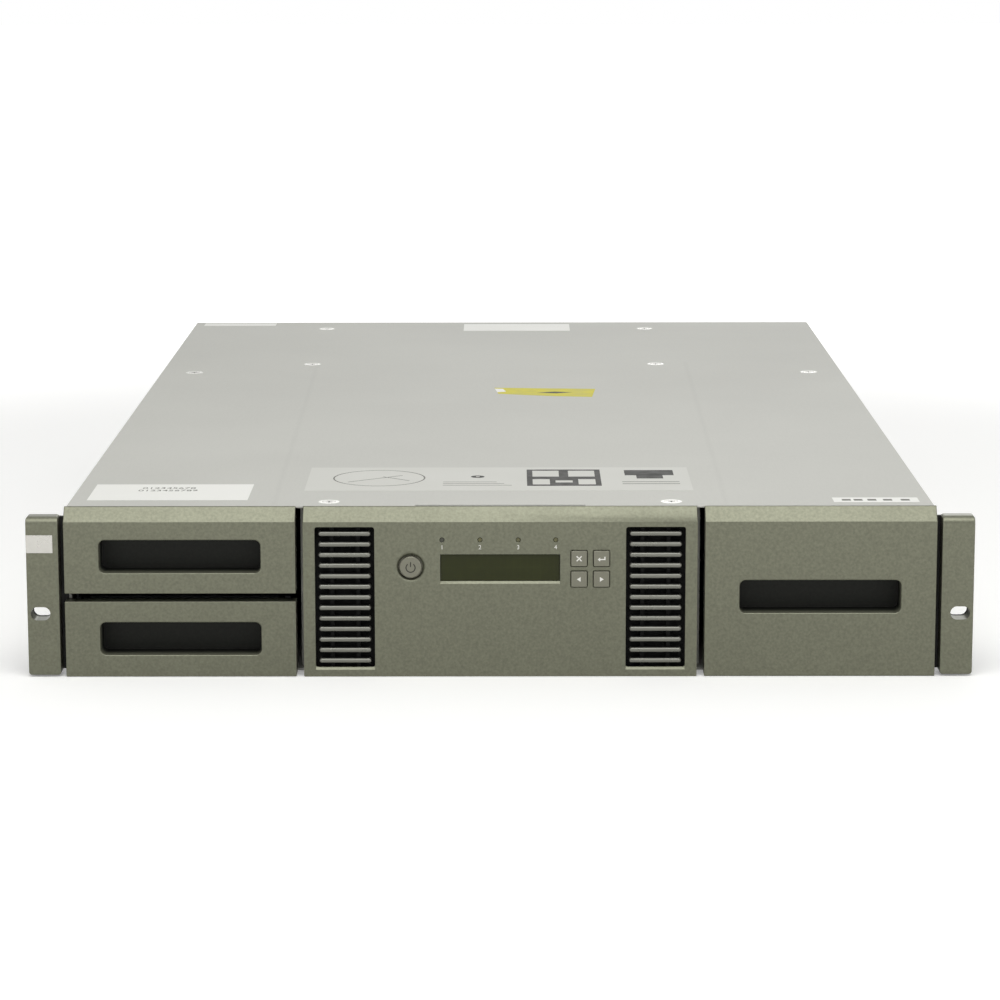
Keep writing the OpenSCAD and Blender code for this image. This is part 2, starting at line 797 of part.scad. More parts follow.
module left_magazine_casing() {
    flip() magazine_casing(column_y(0) + column_pitch / 2 - divider_t / 2 + slide_gap);
}

module left_magazine_dividers() {
    flip() {
        magazine_dividers(mailslot_ceiling);
        magazine_nose(mailslot_h + mailslot_gap);
    }
}

module left_magazine_shelves() {
    flip() magazine_shelves();
}

module right_magazine_casing() {
    magazine_casing(nose_y);
}

module right_magazine_dividers() {
    magazine_dividers(wall_z);
    magazine_nose(wall_z);
}

module right_magazine_shelves() {
    magazine_shelves();
}

// Drawer for one cartridge, which rides in the lowest front slot of the left magazine
module mailslot_tray() {
    back = column_y(0) + column_pitch / 2 - divider_t / 2 - slide_gap;
    wall_top = tier_z(0) + cart_h - 0.5;
    tray_out_x = wall_x - slide_gap;
    color("slategray")
        flip() {
            block([magazine_in, tray_out_x], [nose_y, back], [magazine_z, magazine_z + magazine_t]);
            block([magazine_in, tray_out_x], [nose_y + nose_d, nose_y + nose_d + divider_t],
                [magazine_z, wall_top]);
            block([slot_end_x + 0.1, tray_out_x], [nose_y + nose_d, back], [magazine_z, wall_top]);
            for (x = [magazine_in + 3, tray_out_x - 4])
                block([x, x + 3], [nose_y, nose_y + nose_d], [magazine_z, wall_top]);
        }
}

// Floor tracks that the magazines slide on
module magazine_tracks() {
    foot = 12;
    head = 7;
    top = magazine_z - slide_gap;
    color("gainsboro")
        both() for (x = [magazine_in + 18.3, magazine_out - 20.5])
            translate([x, front_y + magazine_end, 0]) rotate([90, 0, 0])
                linear_extrude(magazine_end - bulkhead_y)
                    polygon([[-foot / 2, sheet_t], [foot / 2, sheet_t], [foot / 2, sheet_t + 1.5],
                        [1.5, sheet_t + 3], [1.5, top - 3], [head / 2, top - 1.5], [head / 2, top],
                        [-head / 2, top], [-head / 2, top - 1.5], [-1.5, top - 3], [-1.5, sheet_t + 3],
                        [-foot / 2, sheet_t + 1.5]]);
}

// ---------- robot ----------

rail_start = bulkhead_y + sheet_t + part_gap;

module aisle_rails() {
    color("silver")
        both() block([rail_x - rail_w / 2, rail_x + rail_w / 2], [rail_start, bay_y],
            [sheet_t, sheet_t + rail_h]);
}

// Toothed rack on the floor; a gap between two teeth faces the pinion at rest
module travel_rack() {
    m = gear_module;
    p = PI * m;
    back = rack_x - 4.5;
    y_pinion = robot_y + travel_y;
    before = ceil((y_pinion - column_y(0) - travel_y + 12) / p);
    after = ceil((column_y(columns - 1) + travel_y + 12 - y_pinion) / p);
    half = p / 4 - gear_backlash / 4;
    lean = tan(20);
    foot_x = rack_x - 1.2 * m;
    tip_x = rack_x + 0.9 * m;
    foot_half = half + 1.2 * m * lean;
    tip_half = half - 0.9 * m * lean;
    teeth = [for (i = [-before:after]) let (y = y_pinion + (i + 0.5) * p)
        each [[foot_x, y - foot_half], [tip_x, y - tip_half],
            [tip_x, y + tip_half], [foot_x, y + foot_half]]];
    y0 = y_pinion - (before + 0.5) * p;
    y1 = y_pinion + (after + 1.5) * p;
    color("white")
        translate([0, front_y, sheet_t]) linear_extrude(rail_h)
            polygon(concat([[back, y1], [back, y0], [foot_x, y0]], teeth, [[foot_x, y1]]));
}

// Place a child at the robot's centre
module robot() {
    at(0, robot_y, 0) children();
}

// Place a child along the line of the turning gears
module on_train(d) {
    rotate(train_angle) translate([d, 0, 0]) rotate(-train_angle) children();
}

shelf_z = gear_z + gear_t + 0.7;
turn_shelf_t = 1.2;

module robot_carriage() {
    half_y = 58;
    shoe = 3.4;
    color("gray")
        robot() difference() {
            union() {
                translate([0, 0, carriage_z]) linear_extrude(carriage_t) {
                    rounded(2 * (rail_x + 7), 2 * half_y, 8);
                    translate([travel_x, travel_y]) circle(9);
                    translate([travel_x / 2, travel_y]) square([-travel_x, 18], center = true);
                    on_train(turn_at) circle(11.5);
                    rotate(train_angle) translate([0, -10]) square([turn_at, 20]);
                }
                for (x = [-1, 1], y = [-1, 1], side = [-1, 1])
                    translate([x * rail_x + side * (rail_w / 2 + slide_gap + shoe / 2) - shoe / 2,
                        y * (half_y - 14) - 9, sheet_t + 0.8])
                        cube([shoe, 18, carriage_z - sheet_t - 0.3]);
                translate([0, 0, carriage_z]) difference() {
                    cylinder(r = 34, h = gear_z - carriage_z - slide_gap);
                    translate([0, 0, -cut]) cylinder(r = 26, h = gear_z - carriage_z + 2 * cut);
                }
                translate([0, 0, carriage_z])
                    cylinder(r = hub_r, h = lift_base_z - carriage_z + lift_base_t);
                on_train(idler_at) translate([0, 0, carriage_z]) {
                    cylinder(r = 5, h = gear_z - carriage_z - slide_gap);
                    cylinder(r = 2.5, h = gear_z + gear_t - carriage_z);
                }
                on_train(turn_at) {
                    translate([-2, -9, shelf_z]) cube([13, 18, turn_shelf_t]);
                    translate([-8, -9, shelf_z]) cube([19, 18, turn_shelf_t]);
                    translate([8.8, -9, deck_z - 1]) cube([2.2, 18, shelf_z - deck_z + 1 + turn_shelf_t]);
                }
            }
            translate([travel_x, travel_y, 0]) cylinder(r = shaft_r + 0.4, h = deck_z + cut);
            on_train(turn_at) translate([0, 0, deck_z - 1]) cylinder(r = shaft_r + 0.4, h = 12);
            for (x = [-1, 1], y = [-1, 1])
                translate([x * 46, y * 34, carriage_z - cut]) cylinder(r = 9, h = carriage_t + 2 * cut);
        }
}

// Two small stepping motors with their shafts
module robot_motors() {
    body_r = 8;
    body_h = 22;
    color("dimgray")
        robot() {
            translate([travel_x, travel_y, deck_z]) {
                cylinder(r = body_r, h = body_h);
                translate([0, 0, sheet_t + 0.5 - deck_z]) cylinder(r = shaft_r, h = deck_z);
            }
            on_train(turn_at) {
                translate([0, 0, shelf_z + turn_shelf_t]) cylinder(r = body_r, h = body_h);
                translate([0, 0, deck_z]) cylinder(r = shaft_r, h = shelf_z + turn_shelf_t - deck_z + 1);
            }
        }
}

module travel_pinion() {
    color("white")
        robot() translate([travel_x, travel_y, sheet_t + 0.4]) difference() {
            rotate(180) gear(travel_teeth, rail_h - 0.5);
            translate([0, 0, -cut]) cylinder(r = shaft_r + slide_gap, h = rail_h + 2 * cut);
        }
}

module turn_idler() {
    color("white")
        robot() on_train(idler_at) translate([0, 0, gear_z]) difference() {
            rotate(train_angle + 180 + 180 / idler_teeth) gear(idler_teeth, gear_t);
            translate([0, 0, -cut]) cylinder(r = 2.5 + slide_gap, h = gear_t + 2 * cut);
            for (a = [0:60:300]) rotate(a) translate([10, 0, -cut]) cylinder(r = 3, h = gear_t + 2 * cut);
        }
}

// The idler has a gap on the far side when its tooth count is even, and a tooth when odd
module turn_pinion() {
    far = idler_teeth % 2 == 0 ? 0 : 180 / turn_teeth;
    color("white")
        robot() on_train(turn_at) translate([0, 0, gear_z]) difference() {
            rotate(train_angle + 180 + far) gear(turn_teeth, gear_t);
            translate([0, 0, -cut]) cylinder(r = shaft_r + slide_gap, h = gear_t + 2 * cut);
        }
}

module turntable() {
    color("white")
        robot() translate([0, 0, gear_z]) difference() {
            rotate(train_angle) gear(table_teeth, gear_t);
            translate([0, 0, -cut]) cylinder(r = hub_r + slide_gap, h = gear_t + 2 * cut);
            for (a = [30:60:330]) rotate(a) translate([40, 0, -cut]) cylinder(r = 8, h = gear_t + 2 * cut);
        }
}

// Base plate of the lift with its four posts
module lift_posts() {
    color("silver")
        robot() {
            translate([0, 0, lift_base_z - joint_gap]) difference() {
                linear_extrude(lift_base_t) rounded(2 * (post_x + 2.8), 2 * (post_y + 5), 5);
                translate([0, 0, -cut]) cylinder(r = hub_r + slide_gap, h = lift_base_t + 2 * cut);
                translate([post_x, 0, -cut]) cylinder(r = post / 2 + slide_gap, h = lift_base_t + 2 * cut);
            }
            for (x = [-1, 1], y = [-1, 1])
                translate([x * post_x, y * post_y, lift_base_z + lift_base_t])
                    cylinder(d = post, h = post_top - lift_base_z - lift_base_t);
        }
}

module lift_screw() {
    color("gold")
        robot() translate([post_x, 0, lift_base_z - 0.1]) cylinder(d = post, h = post_top - lift_base_z);
}

// Open channel that carries one cartridge, with lugs that run on the posts
module picker_tray() {
    wall_top = tier_z(0) + cart_h;
    lug_z = tray_z + 7;
    lug_h = 10;
    color("gainsboro")
        robot() difference() {
            union() {
                translate([-tray_out, -tray_back, tray_z])
                    cube([2 * tray_out, tray_back + tray_front, tray_t]);
                for (x = [-tray_out, tray_half])
                    translate([x, -tray_back, tray_z])
                        cube([tray_wall, tray_back + tray_front, wall_top - tray_z]);
                for (x = [-1, 1]) translate([x > 0 ? tray_out - 0.5 : -tray_out - 5.9, -post_y - 4.5, lug_z])
                    cube([6.4, 2 * post_y + 9, lug_h]);
            }
            for (x = [-1, 1], y = [-1, 1])
                translate([x * post_x, y * post_y, 0]) cylinder(r = post / 2 + slide_gap, h = case_h);
            translate([post_x, 0, 0]) cylinder(r = post / 2 + slide_gap, h = case_h);
            translate([-3, -tray_back + 14, tray_z - cut])
                cube([6, tray_back + tray_front - 28, tray_t + 2 * cut]);
            for (x = [-1, 1]) translate([x * 30, 8, tray_z - cut])
                linear_extrude(tray_t + 2 * cut) rounded(26, 90, 6);
        }
}

// Sliding yoke with two thin fingers that hook a cartridge's sides
module gripper() {
    z0 = tray_z + tray_t + slide_gap;
    finger_x = cart_w / 2 + 0.4;
    yoke_h = 12;
    color("orange")
        robot() translate([0, -tray_back + 0.5, z0]) {
            translate([-finger_x - finger_t, 0, 0]) cube([2 * (finger_x + finger_t), gripper_d, yoke_h]);
            for (x = [-finger_x - finger_t, finger_x])
                translate([x, gripper_d - 1, 2]) cube([finger_t, finger_l + 1, 8]);
            for (x = [-finger_x - finger_t, finger_x - 1.2])
                translate([x, gripper_d + finger_l - 3, 2]) cube([finger_t + 1.2, 3, 8]);
        }
}

// ---------- drive ----------

mouth_w = cart_w + 4;
mouth_h = cart_h + 1.5;
mouth_z = tier_z(0) - 0.7;

module drive_bezel() {
    color("dimgray")
        difference() {
            block([-drive_w / 2, drive_w / 2], [drive_y, drive_y + drive_bezel_d],
                [drive_z, drive_z + drive_h]);
            block([-mouth_w / 2, mouth_w / 2], [drive_y - cut, drive_y + drive_bezel_d + cut],
                [mouth_z, mouth_z + mouth_h]);
        }
}

module drive_case() {
    case_y = drive_y + drive_bezel_d + joint_gap;
    color("silver")
        difference() {
            block([-drive_w / 2, drive_w / 2], [case_y, drive_end], [drive_z, drive_z + drive_h]);
            block([-mouth_w / 2, mouth_w / 2], [case_y - cut, case_y + cart_l],
                [mouth_z, mouth_z + mouth_h]);
        }
}

// Sled floor and side plates that carry the drive
module drive_tray() {
    side = drive_w / 2 + part_gap;
    color("gainsboro") {
        block([-side - drive_tray_t, side + drive_tray_t], [drive_y + 4, case_d],
            [drive_tray_z, drive_tray_z + drive_tray_t]);
        both() block([side, side + drive_tray_t], [drive_y + 4, case_d],
            [drive_tray_z + drive_tray_t + joint_gap, drive_z + drive_h]);
    }
}

module drive_faceplate() {
    color("silver")
        difference() {
            block([-drive_face_w / 2, drive_face_w / 2], [case_d, case_d + faceplate_t],
                [face_z, drive_face_top]);
            for (x = [-1, 1]) rod_y(2, x * thumb_x, case_d - cut, case_d + faceplate_t + cut, thumb_z);
            block([-44, -14], [case_d - cut, case_d + faceplate_t + cut], [14, 22]);
            for (i = [0:9])
                block([10 + 4.5 * i, 12.5 + 4.5 * i], [case_d - cut, case_d + faceplate_t + cut],
                    [12, drive_face_top - 13]);
        }
}

// Bowed handle of the drive sled
module drive_handle() {
    w = 64;
    bar = 7;
    y0 = case_d + faceplate_t;
    color("seagreen")
        at(0, y0, handle_z - bar / 2) linear_extrude(bar) difference() {
            translate([0, handle_out - w / 2]) intersection() {
                union() {
                    circle(d = w);
                    translate([-w / 2, -w]) square([w, w]);
                }
                translate([-w / 2, w / 2 - handle_out]) square([w, handle_out]);
            }
            translate([0, handle_out - w / 2]) intersection() {
                circle(d = w - 10);
                translate([-w / 2, w / 2 - handle_out - cut]) square([w, handle_out]);
            }
        }
}

module drive_thumbscrews() {
    head_l = 11;
    color("gray")
        for (x = [-1, 1]) {
            rod_y(4.6, x * thumb_x, case_d + faceplate_t, case_d + faceplate_t + head_l, thumb_z);
            rod_y(1.8, x * thumb_x, rear_y - 1, case_d + faceplate_t, thumb_z);
        }
}

module upper_bay_blank() {
    color("silver")
        block([-drive_face_w / 2, drive_face_w / 2], [case_d, case_d + faceplate_t],
            [drive_face_top + blank_gap, face_top]);
}

// ---------- power and control ----------

module psu_case() {
    front = rear_y - fan_frame_d - 0.2;
    psu_pitch = (psu_x[1] - psu_x[0] - 29) / 11;
    color("gainsboro")
        difference() {
            block(psu_x, [psu_y, front], psu_z);
            for (i = [0:11])
                block([psu_x[0] + 12 + i * psu_pitch, psu_x[0] + 15 + i * psu_pitch],
                    [psu_y - cut, psu_y + 12], [20, psu_z[1] - 16]);
        }
}

module power_inlet() {
    wall = 2.4;
    flange = 3;
    flange_t = 2;
    color("black")
        difference() {
            union() {
                block([inlet_x - inlet_w / 2, inlet_x + inlet_w / 2], [rear_y - fan_frame_d, case_d],
                    [inlet_z - inlet_h / 2, inlet_z + inlet_h / 2]);
                block([inlet_x - inlet_w / 2 - flange, inlet_x + inlet_w / 2 + flange],
                    [case_d, case_d + flange_t],
                    [inlet_z - inlet_h / 2 - flange, inlet_z + inlet_h / 2 + flange]);
            }
            block([inlet_x - inlet_w / 2 + wall, inlet_x + inlet_w / 2 - wall],
                [rear_y - 12, case_d + flange_t + cut],
                [inlet_z - inlet_h / 2 + wall, inlet_z + inlet_h / 2 - wall]);
        }
}

// Square frame of the fan with the hub's spider, and round wires over its mouth
module psu_fan_frame() {
    y0 = rear_y - fan_frame_d;
    wire = 1.2;
    guard = fan + 10;                      // length of the two straight wires
    color("dimgray") {
        difference() {
            block([fan_x - fan_frame / 2, fan_x + fan_frame / 2], [y0, rear_y],
                [fan_z - fan_frame / 2, fan_z + fan_frame / 2]);
            rod_y(fan / 2, fan_x, y0 - cut, rear_y + cut, fan_z);
        }
        rod_y(11, fan_x, y0, y0 + 2, fan_z);
        for (a = [45:90:315])
            at(fan_x, y0 + 1, fan_z) rotate([0, a, 0]) translate([9, -1, -1.5])
                cube([fan / 2 - 8, 2, 3]);
    }
    color("silver") {
        for (i = [0:3])
            at(fan_x, case_d + wire / 2, fan_z) rotate([90, 0, 0]) rotate_extrude()
                translate([9 + i * (fan / 2 - 10) / 3, 0]) circle(d = wire);
        for (a = [0, 90])
            at(fan_x, case_d + 1.5 * wire - 0.3, fan_z) rotate([0, a, 0])
                translate([-guard / 2, 0, 0]) rotate([0, 90, 0]) cylinder(d = wire, h = guard);
    }
}

module psu_fan_rotor() {
    y0 = rear_y - fan_frame_d + 2.5;
    depth = 10;
    blade_out = fan / 2 - 1.2;
    color("black")
        at(fan_x, y0, fan_z) rotate([-90, 0, 0]) {
            cylinder(r = 11, h = depth);
            for (i = [0:fan_blades - 1])
                rotate(i * 360 / fan_blades) translate([8, 0, depth / 2]) rotate([38, 0, 0])
                    translate([0, -5.5, -0.7]) intersection() {
                        cube([blade_out - 10, 11, 1.4]);
                        translate([-8, 5.5, -10]) cylinder(r = blade_out - 1, h = 20);
                    }
        }
}

module controller_board() {
    y = board_y_back;
    sink_x = board_x[0] + 24;
    sink_y = [y[0] + 40, y[0] + 74];
    sink_z = board_z + board_t;
    color("darkgreen") {
        block(board_x, y, [board_z, board_z + board_t]);
        for (x = [board_x[0] + 8, board_x[1] - 8], v = [y[0] + 8, y[1] - 30])
            rod_z(3, x, v, sheet_t, board_z);
        block([sink_x, sink_x + 34], sink_y, [sink_z, sink_z + 3]);
        for (i = [0:7])
            block([sink_x + 4.5 * i, sink_x + 4.5 * i + 2], sink_y, [sink_z + 3, sink_z + 12]);
    }
}

module ethernet_jack() {
    wall = 1.2;
    z0 = board_z + board_t;
    color("silver")
        difference() {
            block([jack_x - jack_w / 2, jack_x + jack_w / 2], [case_d - jack_d, case_d], [z0, z0 + jack_h]);
            block([jack_x - jack_w / 2 + 2, jack_x + jack_w / 2 - 2], [case_d - 14, case_d + cut],
                [z0 + wall + 1, z0 + jack_h - wall - 1]);
        }
}

floor_pan();
side_walls();
top_cover();
cover_screws();
cover_brace();
bay_walls();
rear_frame();
front_bulkhead();
rack_brackets();
bracket_screws();
left_ear_cover();
right_ear_cover();
control_panel();
vent_grilles();
vent_filters();
lcd_window();
lcd_module();
led_light_pipes();
power_button();
cancel_key();
enter_key();
previous_key();
next_key();
panel_board();
left_magazine_bezel();
left_magazine_casing();
left_magazine_dividers();
left_magazine_shelves();
mailslot_bezel();
mailslot_tray();
right_magazine_bezel();
right_magazine_casing();
right_magazine_dividers();
right_magazine_shelves();
magazine_tracks();
aisle_rails();
travel_rack();
robot_carriage();
robot_motors();
travel_pinion();
turn_idler();
turn_pinion();
turntable();
lift_posts();
lift_screw();
picker_tray();
gripper();
drive_bezel();
drive_case();
drive_tray();
drive_faceplate();
drive_handle();
drive_thumbscrews();
upper_bay_blank();
psu_case();
power_inlet();
psu_fan_frame();
psu_fan_rotor();
controller_board();
ethernet_jack();
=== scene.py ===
import json
import math

import bmesh
import bpy
from mathutils import Matrix, Vector

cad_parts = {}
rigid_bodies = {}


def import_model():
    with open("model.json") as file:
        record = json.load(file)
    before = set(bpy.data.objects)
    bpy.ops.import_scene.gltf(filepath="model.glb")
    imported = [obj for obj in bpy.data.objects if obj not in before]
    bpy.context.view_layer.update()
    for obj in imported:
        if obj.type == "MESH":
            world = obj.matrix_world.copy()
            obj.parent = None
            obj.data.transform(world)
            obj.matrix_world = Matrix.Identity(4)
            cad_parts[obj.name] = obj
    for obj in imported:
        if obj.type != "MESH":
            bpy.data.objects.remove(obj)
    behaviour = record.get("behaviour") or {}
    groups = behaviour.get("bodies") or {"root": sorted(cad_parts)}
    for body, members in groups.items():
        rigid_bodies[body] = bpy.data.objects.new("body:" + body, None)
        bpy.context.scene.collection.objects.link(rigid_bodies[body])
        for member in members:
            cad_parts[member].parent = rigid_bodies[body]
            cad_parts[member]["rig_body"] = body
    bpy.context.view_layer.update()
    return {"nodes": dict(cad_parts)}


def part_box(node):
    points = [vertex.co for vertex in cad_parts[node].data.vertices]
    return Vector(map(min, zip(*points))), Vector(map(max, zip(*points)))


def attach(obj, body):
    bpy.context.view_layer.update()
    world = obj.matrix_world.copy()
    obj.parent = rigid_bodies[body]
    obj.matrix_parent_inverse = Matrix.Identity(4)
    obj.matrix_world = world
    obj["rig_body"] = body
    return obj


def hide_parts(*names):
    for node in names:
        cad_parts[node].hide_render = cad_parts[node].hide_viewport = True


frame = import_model()
nodes = frame["nodes"]
mm = 0.001
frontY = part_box("right_magazine_bezel")[0].y      # the front face; depths below are counted from it
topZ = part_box("top_cover")[1].z / mm
print("frame loaded")

# camera and light

cameraSet = {"place": (0.00348, -2.04298, 0.39217), "tilt": 79.7236, "roll": -0.0783, "yaw": 0.1214,
             "lens": 120.978, "sensor": 36.0}
lightSet = {
    "worldLevel": 0.45,
    "lamps": [
        # name, place in metres, size in metres, watts
        ("overheadFront", (0.0, -1.15, 1.75), 1.5, 20.0),
        ("fillLeft", (-1.6, -1.5, 0.8), 1.2, 2.5),
        ("fillRight", (1.7, -1.5, 0.8), 1.2, 5.0),
        ("fillBehind", (0.4, 1.9, 0.9), 1.4, 5.0),
    ],
}


def makeCamera(settings):
    data = bpy.data.cameras.new("studioCamera")
    data.lens = settings["lens"]
    data.sensor_width = settings["sensor"]
    camera = bpy.data.objects.new("studioCamera", data)
    bpy.context.scene.collection.objects.link(camera)
    turn = (Matrix.Rotation(math.radians(settings["yaw"]), 4, "Z")
            @ Matrix.Rotation(math.radians(settings["tilt"]), 4, "X"))
    roll = Matrix.Rotation(math.radians(settings["roll"]), 4, "Z")
    camera.matrix_world = Matrix.Translation(settings["place"]) @ turn @ roll
    bpy.context.scene.camera = camera


def makeLamps(settings):
    for name, place, size, watts in settings["lamps"]:
        data = bpy.data.lights.new(name, "AREA")
        data.size = size
        data.energy = watts
        lamp = bpy.data.objects.new(name, data)
        bpy.context.scene.collection.objects.link(lamp)
        aim = (Vector((0, 0, 0.04)) - Vector(place)).to_track_quat("-Z", "Y")
        lamp.matrix_world = Matrix.Translation(place) @ aim.to_matrix().to_4x4()


makeCamera(cameraSet)
makeLamps(lightSet)
bpy.context.scene.view_settings.view_transform = "Standard"

# node helpers


def srgb(code):
    # "#rrggbb" as a linear colour
    parts = [int(code[i:i + 2], 16) / 255 for i in (1, 3, 5)]
    return tuple(c / 12.92 if c <= 0.04045 else ((c + 0.055) / 1.055) ** 2.4 for c in parts) + (1.0,)


def shade(code, factor):
    # the same hue, lighter or darker, as a linear colour
    return tuple(min(c * factor, 1.0) for c in srgb(code)[:3]) + (1.0,)


def perMm(size):
    # texture scale at which one feature of a pattern is this many millimetres
    return 1.0 / (size * mm)


def addNode(tree, kind, settings=None, links=None):
    node = tree.nodes.new(kind)
    for key, value in (settings or {}).items():
        if isinstance(key, str) and hasattr(node, key):
            setattr(node, key, value)
        else:
            node.inputs[key].default_value = value
    for key, source in (links or {}).items():
        tree.links.new(source, node.inputs[key])
    return node


def startMaterial(name, roughness, metallic=0.0, coat=0.0, specular=0.5):
    material = bpy.data.materials.new(name)
    material.use_nodes = True
    tree = material.node_tree
    shader = tree.nodes["Principled BSDF"]
    shader.inputs["Roughness"].default_value = roughness
    shader.inputs["Metallic"].default_value = metallic
    shader.inputs["Coat Weight"].default_value = coat
    shader.inputs["Specular IOR Level"].default_value = specular
    return material, tree, shader, addNode(tree, "ShaderNodeTexCoord").outputs["Object"]


def grainMaterial(name, colour, roughness, metallic=0.0, coat=0.0, specular=0.5, grain=(0.6, 0.03, 0.02),
                  cloud=(60.0, 0.03), brushed=None, roughSpread=0.06):
    # grain: size mm, share of colour, depth mm; cloud: size mm, share of colour
    # brushed: how much longer the grain is along X, Y and Z
    material, tree, shader, place = startMaterial(name, roughness, metallic, coat, specular)
    size, tint, depth = grain
    where = place
    if brushed:
        stretch = addNode(tree, "ShaderNodeMapping", {"Scale": tuple(1.0 / b for b in brushed)},
                          {"Vector": place})
        where = stretch.outputs["Vector"]
    fine = addNode(tree, "ShaderNodeTexNoise", {"Scale": perMm(size), "Detail": 3.0, "Roughness": 0.6},
                   {"Vector": where})
    wide = addNode(tree, "ShaderNodeTexNoise", {"Scale": perMm(cloud[0]), "Detail": 2.0}, {"Vector": place})
    fineMix = addNode(tree, "ShaderNodeMix", {"data_type": "RGBA", 6: shade(colour, 1 - 2 * tint),
                                              7: shade(colour, 1 + 2 * tint)},
                      {0: fine.outputs["Fac"]})
    wideMix = addNode(tree, "ShaderNodeMix", {"data_type": "RGBA", "blend_type": "MULTIPLY", 0: 1.0,
                                              7: (1.0, 1.0, 1.0, 1.0)},
                      {6: fineMix.outputs[2]})
    level = addNode(tree, "ShaderNodeMapRange", {"From Min": 0.3, "From Max": 0.7,
                                                 "To Min": 1 - 2 * cloud[1], "To Max": 1.0},
                    {"Value": wide.outputs["Fac"]})
    tree.links.new(level.outputs["Result"], wideMix.inputs[7])
    tree.links.new(wideMix.outputs[2], shader.inputs["Base Color"])
    dull = addNode(tree, "ShaderNodeMapRange", {"From Min": 0.3, "From Max": 0.7,
                                                "To Min": max(roughness - roughSpread, 0.02),
                                                "To Max": roughness + roughSpread},
                   {"Value": wide.outputs["Fac"]})
    tree.links.new(dull.outputs["Result"], shader.inputs["Roughness"])
    bump = addNode(tree, "ShaderNodeBump", {"Strength": 0.6, "Distance": depth * mm},
                   {"Height": fine.outputs["Fac"]})
    tree.links.new(bump.outputs["Normal"], shader.inputs["Normal"])
    return material


# finishes

frontPaint = grainMaterial("metallicPaintOnMouldedAbs", "#6e6f5f", 0.34, 0.7,
                           grain=(1.4, 0.17, 0.05), cloud=(45.0, 0.03))  # fine flake, drawn coarser to show
keyPaint = grainMaterial("satinKeyPolycarbonate", "#787769", 0.36, 0.5,
                         grain=(0.6, 0.03, 0.01), cloud=(6.0, 0.02))
ventBars = grainMaterial("silverPaintedGrilleAbs", "#787870", 0.3, 0.6,
                         grain=(0.7, 0.03, 0.01), cloud=(12.0, 0.03))  # bright along each bar's round edge
# near-black for the grilles' deep faces: painted shade in the grille's depth, in part a black moulded part
ventPaintedShade = grainMaterial("blackAbsWithPaintedShade", "#10100f", 0.7, specular=0.2,
                          grain=(0.6, 0.1, 0.02), cloud=(9.0, 0.05))
filterFoam = grainMaterial("openCellPolyurethaneFoam", "#0c0c0b", 0.95,
                           grain=(1.1, 0.3, 0.5), cloud=(9.0, 0.1))
zincSheet = grainMaterial("zincPlatedSteelSheet", "#b4b4ad", 0.46, 0.3, specular=0.3,
                          grain=(0.8, 0.012, 0.006),
                          cloud=(75.0, 0.02), brushed=(1, 6, 1))  # pale, with a faint rolling grain
bracketCoat = grainMaterial("blackPowderCoatedSteel", "#1d1d1b", 0.62,
                            grain=(0.5, 0.08, 0.04), cloud=(25.0, 0.05))
screwSteel = grainMaterial("nickelPlatedSteel", "#b9b7b0", 0.26, 0.9,
                           grain=(0.3, 0.02, 0.004), cloud=(3.0, 0.03))
magazineAbs = grainMaterial("mouldedSlateAbs", "#4a4d50", 0.55, grain=(0.5, 0.04, 0.02), cloud=(40.0, 0.03))
acetal = grainMaterial("naturalAcetal", "#e6e3d8", 0.35, grain=(0.6, 0.012, 0.004), cloud=(14.0, 0.02))
groundRail = grainMaterial("groundSteelRail", "#b4b4ae", 0.24, 0.95, grain=(0.35, 0.03, 0.003),
                           cloud=(30.0, 0.04), brushed=(1, 20, 1))
carriageMetal = grainMaterial("tumbledAluminium", "#b3b4b2", 0.4, 0.9,
                              grain=(0.4, 0.03, 0.006), cloud=(20.0, 0.03))
motorCan = grainMaterial("blackChromatedCan", "#26272a", 0.34, 0.6,
                         grain=(0.3, 0.04, 0.003), cloud=(6.0, 0.04))
leadscrewBrass = grainMaterial("turnedBrass", "#b99a55", 0.28, 0.95,
                               grain=(0.25, 0.04, 0.004), cloud=(8.0, 0.05))
driveZinc = grainMaterial("stampedDriveTin", "#b8b9b6", 0.36, 0.6, grain=(0.7, 0.02, 0.006),
                          cloud=(35.0, 0.03), brushed=(5, 1, 1))
driveAbs = grainMaterial("mouldedCharcoalAbs", "#2b2b2a", 0.5, grain=(0.5, 0.06, 0.03), cloud=(20.0, 0.04))
handleAbs = grainMaterial("mouldedTealAbs", "#2f7f78", 0.42, grain=(0.45, 0.03, 0.02), cloud=(16.0, 0.03))
psuTin = grainMaterial("foldedZincTin", "#bdbeb8", 0.38, 0.55,
                       grain=(0.7, 0.02, 0.006), cloud=(45.0, 0.03), brushed=(1, 5, 1))
inletNylon = grainMaterial("blackNylon", "#141414", 0.48, grain=(0.4, 0.06, 0.02), cloud=(9.0, 0.03))
whiteFilm = grainMaterial("whitePolyesterLabel", "#eaeae4", 0.55, specular=0.25,
                          grain=(0.6, 0.004, 0.002), cloud=(30.0, 0.01))
paleFilm = grainMaterial("mattSilverPolyesterLabel", "#cbcbc4", 0.6, specular=0.25,
                         grain=(0.6, 0.004, 0.002), cloud=(30.0, 0.01))        # little lighter than the cover
yellowFilm = grainMaterial("fadedYellowVinyl", "#cfc63c", 0.6, specular=0.25, grain=(0.7, 0.02, 0.01),
                           cloud=(9.0, 0.09))
badgeMetal = grainMaterial("satinBrushedBadge", "#c2c0ba", 0.3, 0.85, grain=(0.25, 0.05, 0.003),
                           cloud=(6.0, 0.03), brushed=(14, 1, 1))
printWhite = grainMaterial("whiteScreenPrint", "#e8e7e0", 0.6, grain=(0.4, 0.01, 0.001), cloud=(5.0, 0.02))
printGrey = grainMaterial("greyScreenPrint", "#6d6d66", 0.6, specular=0.2,
                          grain=(0.4, 0.01, 0.001), cloud=(5.0, 0.02))
printBlack = grainMaterial("blackScreenPrint", "#343430", 0.6, specular=0.2, grain=(0.4, 0.01, 0.001),
                           cloud=(5.0, 0.02))
